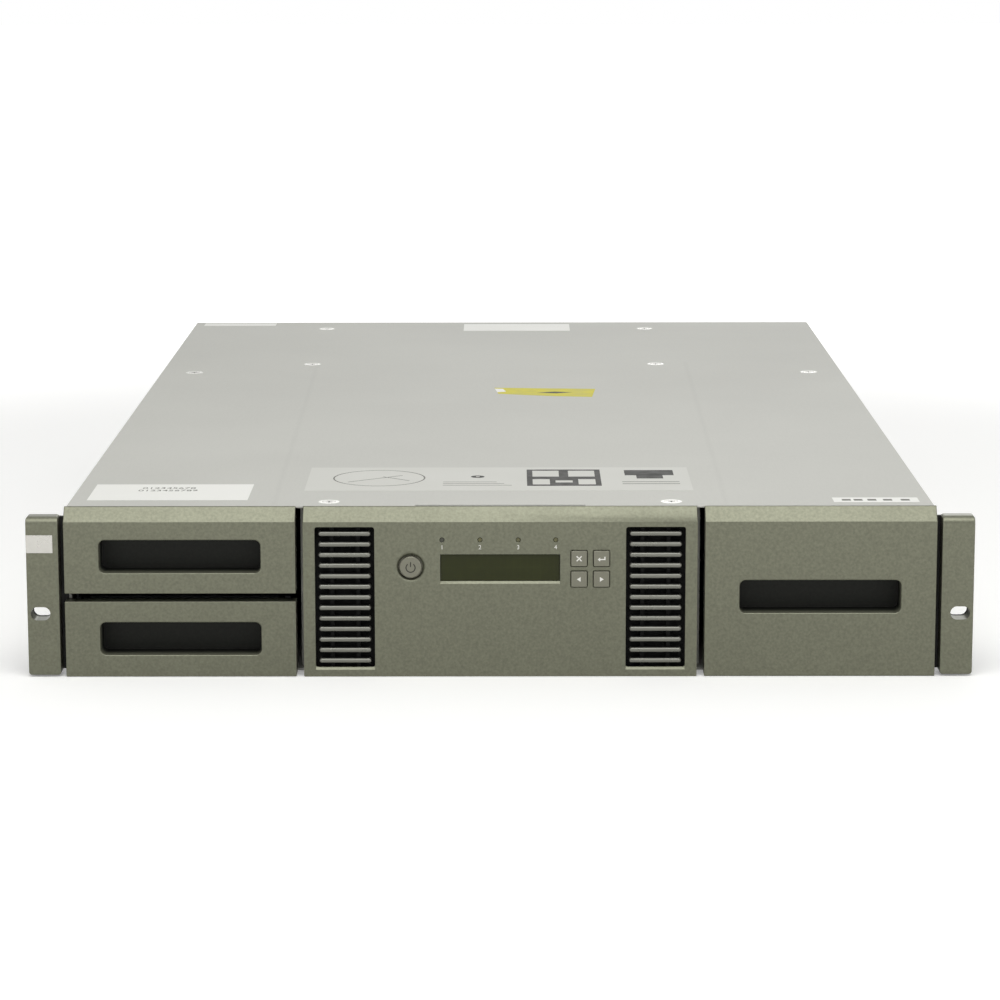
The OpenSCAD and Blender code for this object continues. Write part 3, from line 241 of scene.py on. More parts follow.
# lighter, glossier zinc for the rings round the screws: painted highlight of the dished sheet
dimpleHighlightZinc = grainMaterial("dimpleZincWithPaintedHighlight", "#e2e2da", 0.3, 0.4,
                           grain=(0.5, 0.02, 0.004), cloud=(4.0, 0.03))


lensSet = {"cells": 0.9, "dark": 0.75, "light": 1.25}


def makeLens(name, colour, settings):
    # the end of an unlit acrylic light pipe: deep colour, slightly uneven, with a gloss
    material, tree, shader, place = startMaterial(name, 0.2)
    cells = addNode(tree, "ShaderNodeTexNoise", {"Scale": perMm(settings["cells"]), "Detail": 1.0},
                    {"Vector": place})
    tint = addNode(tree, "ShaderNodeMix", {"data_type": "RGBA", 6: shade(colour, settings["dark"]),
                                           7: shade(colour, settings["light"])},
                   {0: cells.outputs["Fac"]})
    tree.links.new(tint.outputs[2], shader.inputs["Base Color"])
    return material


def makeDisplay(name, settings):
    # twisted nematic display behind a clear window: dark olive, with a faint grid of character cells
    material, tree, shader, place = startMaterial(name, 0.3, specular=0.2)
    offset = addNode(tree, "ShaderNodeVectorMath", {"operation": "SUBTRACT", 1: settings["corner"]},
                     {0: place})
    parts = addNode(tree, "ShaderNodeSeparateXYZ", links={"Vector": offset.outputs["Vector"]})
    masks = []
    for axis, pitch, gap in settings["cells"]:
        along = addNode(tree, "ShaderNodeMath", {"operation": "DIVIDE", 1: pitch * mm},
                        {0: parts.outputs[axis]})
        saw = addNode(tree, "ShaderNodeMath", {"operation": "FRACT"}, {0: along.outputs["Value"]})
        inCell = addNode(tree, "ShaderNodeMath", {"operation": "GREATER_THAN", 1: gap},
                         {0: saw.outputs["Value"]})
        masks.append(inCell.outputs["Value"])
    cell = addNode(tree, "ShaderNodeMath", {"operation": "MULTIPLY"}, {0: masks[0], 1: masks[1]})
    haze = addNode(tree, "ShaderNodeTexNoise", {"Scale": perMm(settings["haze"]), "Detail": 2.0},
                   {"Vector": place})
    base = addNode(tree, "ShaderNodeMix", {"data_type": "RGBA", 6: srgb(settings["dark"]),
                                           7: srgb(settings["light"])},
                   {0: haze.outputs["Fac"]})
    lit = addNode(tree, "ShaderNodeMix", {"data_type": "RGBA", 7: srgb(settings["cellColour"])},
                  {6: base.outputs[2]})
    share = addNode(tree, "ShaderNodeMath", {"operation": "MULTIPLY", 1: settings["cellShare"]},
                    {0: cell.outputs["Value"]})
    tree.links.new(share.outputs["Value"], lit.inputs[0])
    tree.links.new(lit.outputs[2], shader.inputs["Base Color"])
    return material


def makeCover(name, settings):
    # coated steel sheet: an even matt grey with a faint rolling grain, and two long faint darker lines along the
    # bends that are painted shade
    material, tree, shader, place = startMaterial(name, settings["roughness"], specular=settings["specular"])
    stretch = addNode(tree, "ShaderNodeMapping", {"Scale": (1.0, 1 / settings["grainStretch"], 1.0)},
                      {"Vector": place})
    grain = addNode(tree, "ShaderNodeTexNoise", {"Scale": perMm(settings["grain"]), "Detail": 3.0},
                    {"Vector": stretch.outputs["Vector"]})
    wide = addNode(tree, "ShaderNodeTexNoise", {"Scale": perMm(settings["patch"]), "Detail": 2.0},
                   {"Vector": place})
    sheet = addNode(tree, "ShaderNodeMix", {"data_type": "RGBA", 6: shade(settings["colour"], 0.965),
                                            7: shade(settings["colour"], 1.035)},
                    {0: grain.outputs["Fac"]})
    patch = addNode(tree, "ShaderNodeMapRange", {"From Min": 0.3, "From Max": 0.7,
                                                 "To Min": 0.97, "To Max": 1.02},
                    {"Value": wide.outputs["Fac"]})
    parts = addNode(tree, "ShaderNodeSeparateXYZ", links={"Vector": place})
    aside = addNode(tree, "ShaderNodeMath", {"operation": "ABSOLUTE"}, {0: parts.outputs["X"]})
    drift = addNode(tree, "ShaderNodeMath", {"operation": "MULTIPLY_ADD", 1: settings["bendDrift"],
                                             2: settings["bendX"] * mm},
                    {0: parts.outputs["Y"]})
    off = addNode(tree, "ShaderNodeMath", {"operation": "SUBTRACT"},
                  {0: aside.outputs["Value"], 1: drift.outputs["Value"]})
    offSize = addNode(tree, "ShaderNodeMath", {"operation": "ABSOLUTE"}, {0: off.outputs["Value"]})
    # darker along each bend line: painted shade of the crease
    line = addNode(tree, "ShaderNodeMapRange", {"From Min": 0.0, "From Max": settings["bendWidth"] * mm,
                                                "To Min": 0.965, "To Max": 1.0},
                   {"Value": offSize.outputs["Value"]})
    bendEnd = frontY + settings["bendEnd"] * mm
    fade = settings["bendFade"] * mm
    ends = addNode(tree, "ShaderNodeMapRange", {"From Min": bendEnd - fade, "From Max": bendEnd + fade},
                   {"Value": parts.outputs["Y"]})
    bend = addNode(tree, "ShaderNodeMath", {"operation": "MAXIMUM"},
                   {0: line.outputs["Result"], 1: ends.outputs["Result"]})
    both = addNode(tree, "ShaderNodeMath", {"operation": "MULTIPLY"},
                   {0: patch.outputs["Result"], 1: bend.outputs["Value"]})
    tone = addNode(tree, "ShaderNodeMix", {"data_type": "RGBA", "blend_type": "MULTIPLY", 0: 1.0},
                   {6: sheet.outputs[2], 7: both.outputs["Value"]})
    tree.links.new(tone.outputs[2], shader.inputs["Base Color"])
    bump = addNode(tree, "ShaderNodeBump", {"Strength": 0.5, "Distance": settings["relief"] * mm},
                   {"Height": grain.outputs["Fac"]})
    tree.links.new(bump.outputs["Normal"], shader.inputs["Normal"])
    return material


def makePocket(name, settings):
    # front paint that darkens over the depth of a pocket towards near-black: painted shade of the pocket, in
    # part a darker moulding under thin paint
    material, tree, shader, place = startMaterial(name, 0.5, settings["metallic"], specular=0.25)
    grain = addNode(tree, "ShaderNodeTexNoise", {"Scale": perMm(settings["grain"]), "Detail": 3.0},
                    {"Vector": place})
    parts = addNode(tree, "ShaderNodeSeparateXYZ", links={"Vector": place})
    depth = addNode(tree, "ShaderNodeMapRange", {"From Min": frontY + settings["from"] * mm,
                                                 "From Max": frontY + settings["to"] * mm},
                    {"Value": parts.outputs["Y"]})
    tone = addNode(tree, "ShaderNodeMix", {"data_type": "RGBA", 6: srgb(settings["paint"]),
                                           7: srgb(settings["moulding"])},
                   {0: depth.outputs["Result"]})
    speck = addNode(tree, "ShaderNodeMapRange", {"From Min": 0.3, "From Max": 0.7,
                                                 "To Min": 1 - settings["speck"],
                                                 "To Max": 1 + settings["speck"]},
                    {"Value": grain.outputs["Fac"]})
    mixed = addNode(tree, "ShaderNodeMix", {"data_type": "RGBA", "blend_type": "MULTIPLY", 0: 1.0},
                    {6: tone.outputs[2], 7: speck.outputs["Result"]})
    tree.links.new(mixed.outputs[2], shader.inputs["Base Color"])
    bump = addNode(tree, "ShaderNodeBump", {"Strength": 0.6, "Distance": settings["relief"] * mm},
                   {"Height": grain.outputs["Fac"]})
    tree.links.new(bump.outputs["Normal"], shader.inputs["Normal"])
    return material


def makeBoard(name, settings):
    # solder mask over copper: green, with lighter raised tracks
    material, tree, shader, place = startMaterial(name, 0.32)
    cells = addNode(tree, "ShaderNodeTexVoronoi", {"feature": "DISTANCE_TO_EDGE", "distance": "EUCLIDEAN",
                                                    "Scale": perMm(settings["trackPitch"])},
                    {"Vector": place})
    track = addNode(tree, "ShaderNodeMath", {"operation": "LESS_THAN", 1: settings["trackWidth"]},
                    {0: cells.outputs["Distance"]})
    green = addNode(tree, "ShaderNodeMix", {"data_type": "RGBA", 6: srgb(settings["mask"]),
                                            7: srgb(settings["track"])},
                    {0: track.outputs["Value"]})
    tree.links.new(green.outputs[2], shader.inputs["Base Color"])
    bump = addNode(tree, "ShaderNodeBump", {"Strength": 0.5, "Distance": settings["relief"] * mm},
                   {"Height": track.outputs["Value"]})
    tree.links.new(bump.outputs["Normal"], shader.inputs["Normal"])
    return material


displaySet = {
    "corner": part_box("lcd_window")[0],              # the cells are counted from the window's low corner
    "cells": (("X", 3.35, 0.16), ("Z", 6.6, 0.12)),  # axis, pitch in mm, share of it between two cells
    "dark": "#22250c", "light": "#303410", "cellColour": "#272a0c", "cellShare": 0.35, "haze": 11.0,
}
displayFilm = makeDisplay("smokedDisplayWindow", displaySet)
displayBody = grainMaterial("displayModuleTin", "#9a9b97", 0.4, 0.6,
                            grain=(0.6, 0.02, 0.004), cloud=(10.0, 0.03))
lensDark = makeLens("unlitLensAcrylic", "#35362a", lensSet)
lensOlive = makeLens("unlitOliveLensAcrylic", "#565431", lensSet)
coverSet = {
    "edge": 0.35, "colour": "#c0c0b9", "roughness": 0.6, "specular": 0.2,
    "grain": 0.9, "grainStretch": 7, "relief": 0.006, "patch": 120.0,
    # two bend lines of painted shade: place at the middle and how it moves with Y, width, length from the front,
    # faded end
    "bendX": 119.0, "bendDrift": 0.012, "bendWidth": 2.2, "bendEnd": 505.0, "bendFade": 30.0,
}
coverSheet = makeCover("greyCoatedSteelSheet", coverSet)
# pocket colour runs from the front paint to near-black with depth: painted shade, in part a darker moulding
pocketSet = {"paint": "#6e6f5f", "moulding": "#1b1c18", "metallic": 0.3, "from": 0.5, "to": 9.0,
             "grain": 1.4, "speck": 0.15, "relief": 0.03}
pocketPaintAndShade = makePocket("pocketPaintWithPaintedShade", pocketSet)
boardSet = {"trackPitch": 2.4, "trackWidth": 0.07, "relief": 0.03, "mask": "#17502c", "track": "#2a7a45"}
boardMask = makeBoard("greenSolderMask", boardSet)
print("finishes made")

# shape helpers; places are in mm, with y counted from the front face

shapeSet = {
    "weld": 0.003, "flat": 0.4,                     # weld of loose points in mm, and angle of flat faces
    "sharpest": 32, "rodRim": 50, "smooth": 38,     # angles in degrees from which an edge counts as sharp
    "figureEm": 1.35,                               # a font's size over the height of its numerals
}


def spot(x, y, z):
    return Vector((x * mm, frontY + y * mm, z * mm))


def blockInto(work, low, high, edge=0.0, look=0):
    before = set(work.faces)
    made = bmesh.ops.create_cube(work, size=1.0)["verts"]
    bmesh.ops.scale(work, vec=[(b - a) * mm for a, b in zip(low, high)], verts=made)
    middle = [(a + b) / 2 for a, b in zip(low, high)]
    bmesh.ops.translate(work, vec=spot(*middle), verts=made)
    if edge:
        edges = list({e for v in made for e in v.link_edges})
        bmesh.ops.bevel(work, geom=edges, offset=edge * mm, offset_type="OFFSET", segments=2,
                        profile=0.5, affect="EDGES", material=-1)
    for face in set(work.faces) - before:
        face.material_index = look


def rodInto(work, centre, radius, length, axis="Y", edge=0.0, look=0, sides=32, radius2=None):
    # a rod or cone that starts at centre and runs along +Y or +Z
    before = set(work.faces)
    radius2 = radius if radius2 is None else radius2
    made = bmesh.ops.create_cone(work, cap_ends=True, segments=sides, radius1=radius * mm,
                                 radius2=radius2 * mm, depth=length * mm)["verts"]
    turn = Matrix.Rotation(-math.pi / 2, 4, "X") if axis == "Y" else Matrix.Identity(4)
    lift = Matrix.Translation((0, 0, length * mm / 2))
    bmesh.ops.transform(work, matrix=Matrix.Translation(spot(*centre)) @ turn @ lift, verts=made)
    if edge:
        rims = [e for e in {e for v in made for e in v.link_edges}
                if e.is_manifold and e.calc_face_angle() > math.radians(shapeSet["rodRim"])]
        bmesh.ops.bevel(work, geom=rims, offset=edge * mm, offset_type="OFFSET", segments=2, profile=0.5,
                        affect="EDGES", material=-1)
    for face in set(work.faces) - before:
        face.material_index = look


def raiseInto(work, flat, before, rise, look):
    # flat faces raised by rise (a vector in mm) into a closed plate; before holds the faces of earlier pieces
    raised = bmesh.ops.extrude_face_region(work, geom=flat)["geom"]
    tops = [v for v in raised if isinstance(v, bmesh.types.BMVert)]
    bmesh.ops.translate(work, vec=Vector(rise) * mm, verts=tops)
    made = list(set(work.faces) - before)
    bmesh.ops.recalc_face_normals(work, faces=made)
    for face in made:
        face.material_index = look


def polygonInto(work, points, rise, look=0):
    # a flat outline raised by rise (a vector in mm) into a closed plate
    before = set(work.faces)
    verts = [work.verts.new(spot(*p)) for p in points]
    face = work.faces.new(verts)
    face.normal_update()
    raiseInto(work, [face], before, rise, look)


def arcInto(work, centre, radius, width, start, sweep, axis, rise, look=0, steps=28):
    # a flat band round centre, raised into a closed plate; angles in degrees about axis
    before = set(work.faces)
    across = Vector((0, 0, 1)) if axis == "Y" else Vector((1, 0, 0))
    around = {"Y": (0, 1, 0), "Z": (0, 0, 1)}[axis]
    turn = Matrix.Rotation(math.radians(start), 3, around)
    middle = spot(*centre)
    ends = [work.verts.new(middle + turn @ (across * (radius + side * width / 2) * mm)) for side in (-1, 1)]
    rib = work.edges.new(ends)
    whole = abs(sweep) >= 360
    bmesh.ops.spin(work, geom=ends + [rib], cent=middle, axis=around, angle=math.radians(sweep), steps=steps,
                   use_merge=whole, use_duplicate=False)
    raiseInto(work, list(set(work.faces) - before), before, rise, look)


def figureInto(work, text, centre, height, facing, rise, look=0):
    # plain numerals, drawn flat and raised; facing is front or top
    curve = bpy.data.curves.new("figures", "FONT")
    curve.body = text
    curve.align_x = "CENTER"
    curve.align_y = "CENTER"
    curve.size = 1.0
    curve.extrude = rise / height / 2
    curve.resolution_u = 3
    holder = bpy.data.objects.new("figures", curve)
    bpy.context.scene.collection.objects.link(holder)
    bpy.context.view_layer.update()
    mesh = bpy.data.meshes.new_from_object(holder.evaluated_get(bpy.context.evaluated_depsgraph_get()))
    bpy.data.objects.remove(holder)
    bpy.data.curves.remove(curve)
    turn = Matrix.Rotation(math.pi / 2, 4, "X") if facing == "front" else Matrix.Identity(4)
    em = height * mm * shapeSet["figureEm"]
    mesh.transform(Matrix.Translation(spot(*centre)) @ turn @ Matrix.Scale(em, 4))
    before = set(work.faces)
    work.from_mesh(mesh)
    bpy.data.meshes.remove(mesh)
    for face in set(work.faces) - before:
        face.material_index = look


def finishPiece(work, name, body, looks, stands=()):
    # the finished mesh as an object that rides on its body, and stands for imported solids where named
    mesh = bpy.data.meshes.new(name)
    work.normal_update()
    work.to_mesh(mesh)
    work.free()
    for look in looks:
        mesh.materials.append(look)
    mesh.shade_smooth()
    mesh.set_sharp_from_angle(angle=math.radians(shapeSet["smooth"]))
    piece = bpy.data.objects.new(name, mesh)
    bpy.context.scene.collection.objects.link(piece)
    even = piece.modifiers.new("evenNormals", "WEIGHTED_NORMAL")
    even.keep_sharp = True
    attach(piece, body)
    if stands:
        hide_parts(*stands)


def softened(nodeName, pieceName, rounds, looks, choose=None):
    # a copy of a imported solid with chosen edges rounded, standing for that solid
    # rounds: (size mm, segments, which edges or None for all that are left)
    work = bmesh.new()
    work.from_mesh(nodes[nodeName].data)
    bmesh.ops.remove_doubles(work, verts=work.verts, dist=shapeSet["weld"] * mm)
    bmesh.ops.dissolve_limit(work, angle_limit=math.radians(shapeSet["flat"]), verts=work.verts,
                             edges=work.edges, delimit={"NORMAL"})
    left = [e for e in work.edges
            if e.is_manifold and e.calc_face_angle() > math.radians(shapeSet["sharpest"])]
    for size, segments, which in rounds:
        chosen = [e for e in left if which is None or which(e)]
        left = [e for e in left if e not in set(chosen)]
        bmesh.ops.bevel(work, geom=chosen, offset=size * mm, offset_type="OFFSET", segments=segments,
                        profile=0.5, affect="EDGES", material=-1, loop_slide=False, clamp_overlap=False)
        left = [e for e in left if e.is_valid]
    for face in work.faces:
        face.material_index = choose(face) if choose else 0
    finishPiece(work, pieceName, nodes[nodeName]["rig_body"], looks, (nodeName,))


# front mouldings

frontSet = {
    "edge": 0.4, "panelRim": 0.25, "earEdge": 0.6, "rimEdge": 0.8, "barEdge": 1.0,
    "pocketMiddle": 161.75, "pocketHalf": 41.5,     # finger pockets of the magazine fronts, along X
    "pocketDepth": 0.9, "pocketFoot": 6.0, "pocketHead": 8.0,   # where a pocket's own faces start
    "slopeRise": 7.1,                               # height of the slope that ends at the cover
    "slotMiddle": (232.55, 32.6), "slotReach": (7.5, 6.5),      # rack slots in the ears
    "sillDepth": 2.0,                               # depth of the openings' sloped lower edges
    "barFace": 0.5, "barDepth": 3.4,                # from barDepth back the grilles are black: painted shade in the grille's depth, in part a black moulded part
    "onFace": 0.05, "onOutline": 0.5,               # a point this near counts as on the face or outline
}


def depthOf(point):
    return (point.y - frontY) / mm


def atFront(edge):
    return all(abs(depthOf(v.co)) < frontSet["onFace"] for v in edge.verts)


def besidePocket(point):
    return abs(abs(point.x) - frontSet["pocketMiddle"] * mm) < frontSet["pocketHalf"] * mm


def inPocket(nodeName):
    # faces inside a moulding's finger pocket, which darken with depth: painted shade, in part a darker moulding
    low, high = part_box(nodeName)
    foot = low.z + frontSet["pocketFoot"] * mm
    head = high.z - frontSet["pocketHead"] * mm

    def pick(face):
        middle = face.calc_center_median()
        inside = depthOf(middle) > frontSet["pocketDepth"] and foot < middle.z < head
        return 1 if inside and besidePocket(middle) else 0
    return pick


outlineHeights = (0.0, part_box("mailslot_bezel")[1].z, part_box("left_magazine_bezel")[0].z,
                  (topZ - frontSet["slopeRise"]) * mm)


def pocketRim(edge):
    # the rim of a finger pocket, without the outlines of the fronts
    return (atFront(edge) and all(besidePocket(v.co) for v in edge.verts)
            and all(abs(v.co.z - z) > frontSet["onOutline"] * mm for v in edge.verts for z in outlineHeights))


def awayFromSlot(edge):
    # the rack slots keep their crisp edges
    (x, z), (reachX, reachZ) = frontSet["slotMiddle"], frontSet["slotReach"]
    return not all(abs(abs(v.co.x) / mm - x) < reachX and abs(v.co.z / mm - z) < reachZ for v in edge.verts)


def notSill(edge):
    # the openings' sloped lower edges and the button's dish stay crisp
    return all(depthOf(v.co) < frontSet["onFace"] or depthOf(v.co) > frontSet["sillDepth"]
               for v in edge.verts)


softened("control_panel", "controlPanel",
         [(frontSet["edge"], 2, lambda e: notSill(e) and not atFront(e)), (frontSet["panelRim"], 2, atFront)],
         [frontPaint])
for nodeName, pieceName in (("left_magazine_bezel", "upperLeftFront"), ("mailslot_bezel", "mailslotFront"),
                            ("right_magazine_bezel", "rightFront")):
    softened(nodeName, pieceName, [(frontSet["rimEdge"], 3, pocketRim), (frontSet["edge"], 2, None)],
             [frontPaint, pocketPaintAndShade], inPocket(nodeName))
for nodeName, pieceName in (("left_ear_cover", "leftEarCover"), ("right_ear_cover", "rightEarCover")):
    softened(nodeName, pieceName, [(frontSet["earEdge"], 2, awayFromSlot)], [frontPaint])
# faces from barDepth back take the black finish: painted shade in the grille's depth, in part a black moulded
# part
softened("vent_grilles", "ventGrilleBars",
         [(frontSet["barEdge"], 3, lambda e: all(depthOf(v.co) < frontSet["barFace"] for v in e.verts))],
         [ventBars, ventPaintedShade],
         lambda face: 1 if depthOf(face.calc_center_median()) > frontSet["barDepth"] else 0)
print("front mouldings made")

# keys, button, display and lamps

controlSet = {
    "keyEdge": 0.35, "capEdge": 0.7, "windowEdge": 0.15,
    "stroke": 0.6,                                  # width of a printed line, a little bold so that it shows
    "print": 0.04,                                  # thickness of the print
    "lamps": (-29.3, -10.2, 9.1, 28.0), "lampZ": 70.4, "figureZ": 66.6, "figureHeight": 2.3,
    "lens": {"y": 0.15, "radius": 1.1, "length": 3.8, "edge": 0.3},
    "pipe": {"y": 4.0, "radius": 1.7, "length": 8.3},
}
standbySet = {"drop": 0.2, "radius": 2.3, "line": 0.5, "start": 38, "sweep": 284, "stem": (0.2, 2.7)}
keyNames = {"cancel_key": "cancelKey", "enter_key": "enterKey", "previous_key": "previousKey",
            "next_key": "nextKey"}
for nodeName, pieceName in keyNames.items():
    softened(nodeName, pieceName, [(controlSet["keyEdge"], 2, None)], [keyPaint])
softened("power_button", "powerButton", [(controlSet["capEdge"], 3, lambda e: depthOf(e.verts[0].co) < 0)],
         [keyPaint])
softened("lcd_window", "displayWindow", [(controlSet["windowEdge"], 1, None)], [displayFilm])


def faceOf(nodeName):
    # middle of a node's front face in mm: x, y from the front face, z
    low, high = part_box(nodeName)
    return (low.x + high.x) / 2 / mm, (low.y - frontY) / mm, (low.z + high.z) / 2 / mm


def strokeInto(work, a, b, y, width, look=0):
    # a straight printed line between two (x, z) points
    ax, az = a
    bx, bz = b
    length = math.hypot(bx - ax, bz - az)
    nx, nz = -(bz - az) / length * width / 2, (bx - ax) / length * width / 2
    corners = [(ax + nx, y, az + nz), (bx + nx, y, bz + nz), (bx - nx, y, bz - nz), (ax - nx, y, az - nz)]
    polygonInto(work, corners, (0, -controlSet["print"], 0), look)


def keySymbol(nodeName, pieceName, lines=(), triangle=None):
    # lines and a triangle printed on a key, in mm from the middle of its face
    work = bmesh.new()
    x, y, z = faceOf(nodeName)
    for a, b in lines:
        strokeInto(work, (x + a[0], z + a[1]), (x + b[0], z + b[1]), y, controlSet["stroke"])
    if triangle:
        polygonInto(work, [(x + p[0], y, z + p[1]) for p in triangle], (0, -controlSet["print"], 0))
    finishPiece(work, pieceName, nodes[nodeName]["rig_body"], [printWhite])


keySymbol("cancel_key", "cancelSign", (((-1.25, -1.25), (1.25, 1.25)), ((-1.25, 1.25), (-0.3, 0.3)),
                                       ((0.3, -0.3), (1.25, -1.25))))
keySymbol("enter_key", "enterSign", (((1.7, 1.0), (1.7, -0.7)), ((1.4, -0.4), (-0.7, -0.4))),
          ((-0.7, 0.7), (-0.7, -1.5), (-1.9, -0.4)))
keySymbol("previous_key", "previousSign", (), ((0.8, 1.2), (0.8, -1.2), (-1.2, 0.0)))
keySymbol("next_key", "nextSign", (), ((-0.8, 1.2), (1.2, 0.0), (-0.8, -1.2)))

work = bmesh.new()
x, y, z = faceOf("power_button")
arcInto(work, (x, y, z - standbySet["drop"]), standbySet["radius"], standbySet["line"], standbySet["start"],
        standbySet["sweep"], "Y", (0, -controlSet["print"], 0))
foot, head = standbySet["stem"]
strokeInto(work, (x, z + foot), (x, z + head), y, standbySet["line"])
finishPiece(work, "standbySign", "power_button", [printBlack])

work = bmesh.new()
for number, x in enumerate(controlSet["lamps"], 1):
    figureInto(work, str(number), (x, -controlSet["print"] / 2, controlSet["figureZ"]),
               controlSet["figureHeight"], "front", controlSet["print"])
finishPiece(work, "lampNumbers", "case", [printWhite])

work = bmesh.new()
lens, pipe = controlSet["lens"], controlSet["pipe"]
for number, x in enumerate(controlSet["lamps"]):
    rodInto(work, (x, lens["y"], controlSet["lampZ"]), lens["radius"], lens["length"], edge=lens["edge"],
            look=1 if number else 0)
    rodInto(work, (x, pipe["y"], controlSet["lampZ"]), pipe["radius"], pipe["length"], sides=24)
finishPiece(work, "lampPipes", "case", [lensDark, lensOlive], ("led_light_pipes",))
print("controls made")

# top cover and its screws

screwSet = {
    "places": ((-87.0, 18.6), (87.0, 18.6), (-198.0, 485.0), (198.0, 485.0),
               (-124.0, 523.0), (101.0, 523.0), (-124.0, 704.0), (101.0, 704.0)),
    "head": 3.4, "shank": 1.6, "headEdge": 0.1,
    "shankSpan": (6.2, 5.2), "coneSpan": (1.2, 0.9), "headSpan": (0.3, 0.27),   # depth below the top, length
    "recess": (1.7, 0.35), "recessSpan": (0.05, 0.01),   # half sizes of a bar of the dark cross that stands for the shaded recess (painted shade), and its depths
    "dimple": (4.5, 1.8, 0.04),                     # radius, width and thickness of the lighter ring round a head, a painted highlight of the dish
}
softened("top_cover", "topCover", [(coverSet["edge"], 2, None)], [coverSheet])

work = bmesh.new()
for x, y in screwSet["places"]:
    for (deep, length), radius, wider, edge, sides, look in (
            (screwSet["shankSpan"], screwSet["shank"], None, 0.0, 20, 1),
            (screwSet["coneSpan"], screwSet["shank"], screwSet["head"], 0.0, 36, 1),
            (screwSet["headSpan"], screwSet["head"], None, screwSet["headEdge"], 36, 0)):
        rodInto(work, (x, y, topZ - deep), radius, length, "Z", edge, look, sides, wider)
    # a thin dark cross on each head in the black print finish: painted shade standing for the recess
    long, thin = screwSet["recess"]
    low, high = (topZ - deep for deep in screwSet["recessSpan"])
    for halfX, halfY in ((thin, long), (long, thin)):
        blockInto(work, (x - halfX, y - halfY, low), (x + halfX, y + halfY, high), look=2)
finishPiece(work, "coverScrews", "case", [screwSteel, zincSheet, printBlack],
            ("cover_screws",))

# a flat, lighter ring round each head: painted highlight standing for the light caught by the dished sheet
work = bmesh.new()
radius, width, thick = screwSet["dimple"]
for x, y in screwSet["places"]:
    arcInto(work, (x, y, topZ), radius, width, 0, 360, "Z", (0, 0, thick), steps=36)
finishPiece(work, "screwDimpleHighlights", "case", [dimpleHighlightZinc])

# labels on the cover, all with plain generic shapes; places are x and y

labelSet = {"thick": 0.06, "print": 0.03}
printZ = topZ + labelSet["thick"]


def labelInto(work, x, y):
    polygonInto(work, [(x[0], y[0], topZ), (x[1], y[0], topZ), (x[1], y[1], topZ), (x[0], y[1], topZ)],
                (0, 0, labelSet["thick"]))


def topStroke(work, a, b, width):
    # a grey printed line on a top label between two (x, y) points
    length = math.hypot(b[0] - a[0], b[1] - a[1])
    nx, ny = -(b[1] - a[1]) / length * width / 2, (b[0] - a[0]) / length * width / 2
    corners = [(a[0] + nx, a[1] + ny), (a[0] - nx, a[1] - ny), (b[0] - nx, b[1] - ny), (b[0] + nx, b[1] + ny)]
    polygonInto(work, [(x, y, printZ) for x, y in corners], (0, 0, labelSet["print"]), 1)


def printInto(work, low, high, look, lift=0.0, rise=labelSet["print"]):
    blockInto(work, (*low, printZ + lift), (*high, printZ + lift + rise), look=look)


wideLabelSet = {
    "x": (-101.5, 100.0), "y": (50.0, 121.0), "line": 0.8,
    "dial": (-64.0, 88.0), "dialRadius": 24.0,
    "hands": (((-80.0, 76.0), (-52.0, 96.0)), ((-62.0, 92.0), (-48.0, 80.0))),
    "dot": (-12.0, 92.0), "dotRadius": 2.4,
    "bars": [((-30.0, 66.0 + 5 * row), (6.0 - 4 * row, 66.0 + 5 * row)) for row in range(3)], "barWidth": 0.9,
    "window": ((14.0, 64.0), (53.0, 114.0)), "paneRise": 0.02,
    "panes": (((17.0, 92.0), (31.0, 110.0)), ((36.0, 92.0), (50.0, 110.0)), ((17.0, 68.0), (26.0, 84.0)),
              ((41.0, 68.0), (50.0, 84.0)), ((29.0, 74.0), (38.0, 80.0))),
    "plug": (((66.0, 96.0), (92.0, 112.0)), ((72.0, 86.0), (86.0, 97.0))),
    "plugBars": [((64.0, 70.0 + 6 * row), (94.0, 70.0 + 6 * row)) for row in range(2)], "plugBarWidth": 1.4,
}
work = bmesh.new()
labelInto(work, wideLabelSet["x"], wideLabelSet["y"])
printRise = (0, 0, labelSet["print"])
arcInto(work, (*wideLabelSet["dial"], printZ), wideLabelSet["dialRadius"], wideLabelSet["line"], 0, 360, "Z",
        printRise, 1, 48)
for a, b in wideLabelSet["hands"]:
    topStroke(work, a, b, wideLabelSet["line"])
arcInto(work, (*wideLabelSet["dot"], printZ), wideLabelSet["dotRadius"], wideLabelSet["dotRadius"], 0, 360,
        "Z", printRise, 2, 24)
for a, b in wideLabelSet["bars"]:
    topStroke(work, a, b, wideLabelSet["barWidth"])
printInto(work, *wideLabelSet["window"], look=2)
for low, high in wideLabelSet["panes"]:
    printInto(work, low, high, 0, labelSet["print"], wideLabelSet["paneRise"])
for low, high in wideLabelSet["plug"]:
    printInto(work, low, high, 2)
for a, b in wideLabelSet["plugBars"]:
    topStroke(work, a, b, wideLabelSet["plugBarWidth"])
finishPiece(work, "coverWideLabel", "case", [paleFilm, printGrey, printBlack])

leftLabelSet = {"x": (-210.8, -128.8), "y": (23.3, 69.6), "middle": -172.0, "height": 4.6,
                "rows": (("012345678", 58.0), ("0123456789", 51.0))}
work = bmesh.new()
labelInto(work, leftLabelSet["x"], leftLabelSet["y"])
for figures, y in leftLabelSet["rows"]:
    figureInto(work, figures, (leftLabelSet["middle"], y, printZ + labelSet["print"] / 2),
               leftLabelSet["height"], "top", labelSet["print"], 1)
finishPiece(work, "coverLeftLabel", "case", [whiteFilm, printGrey])

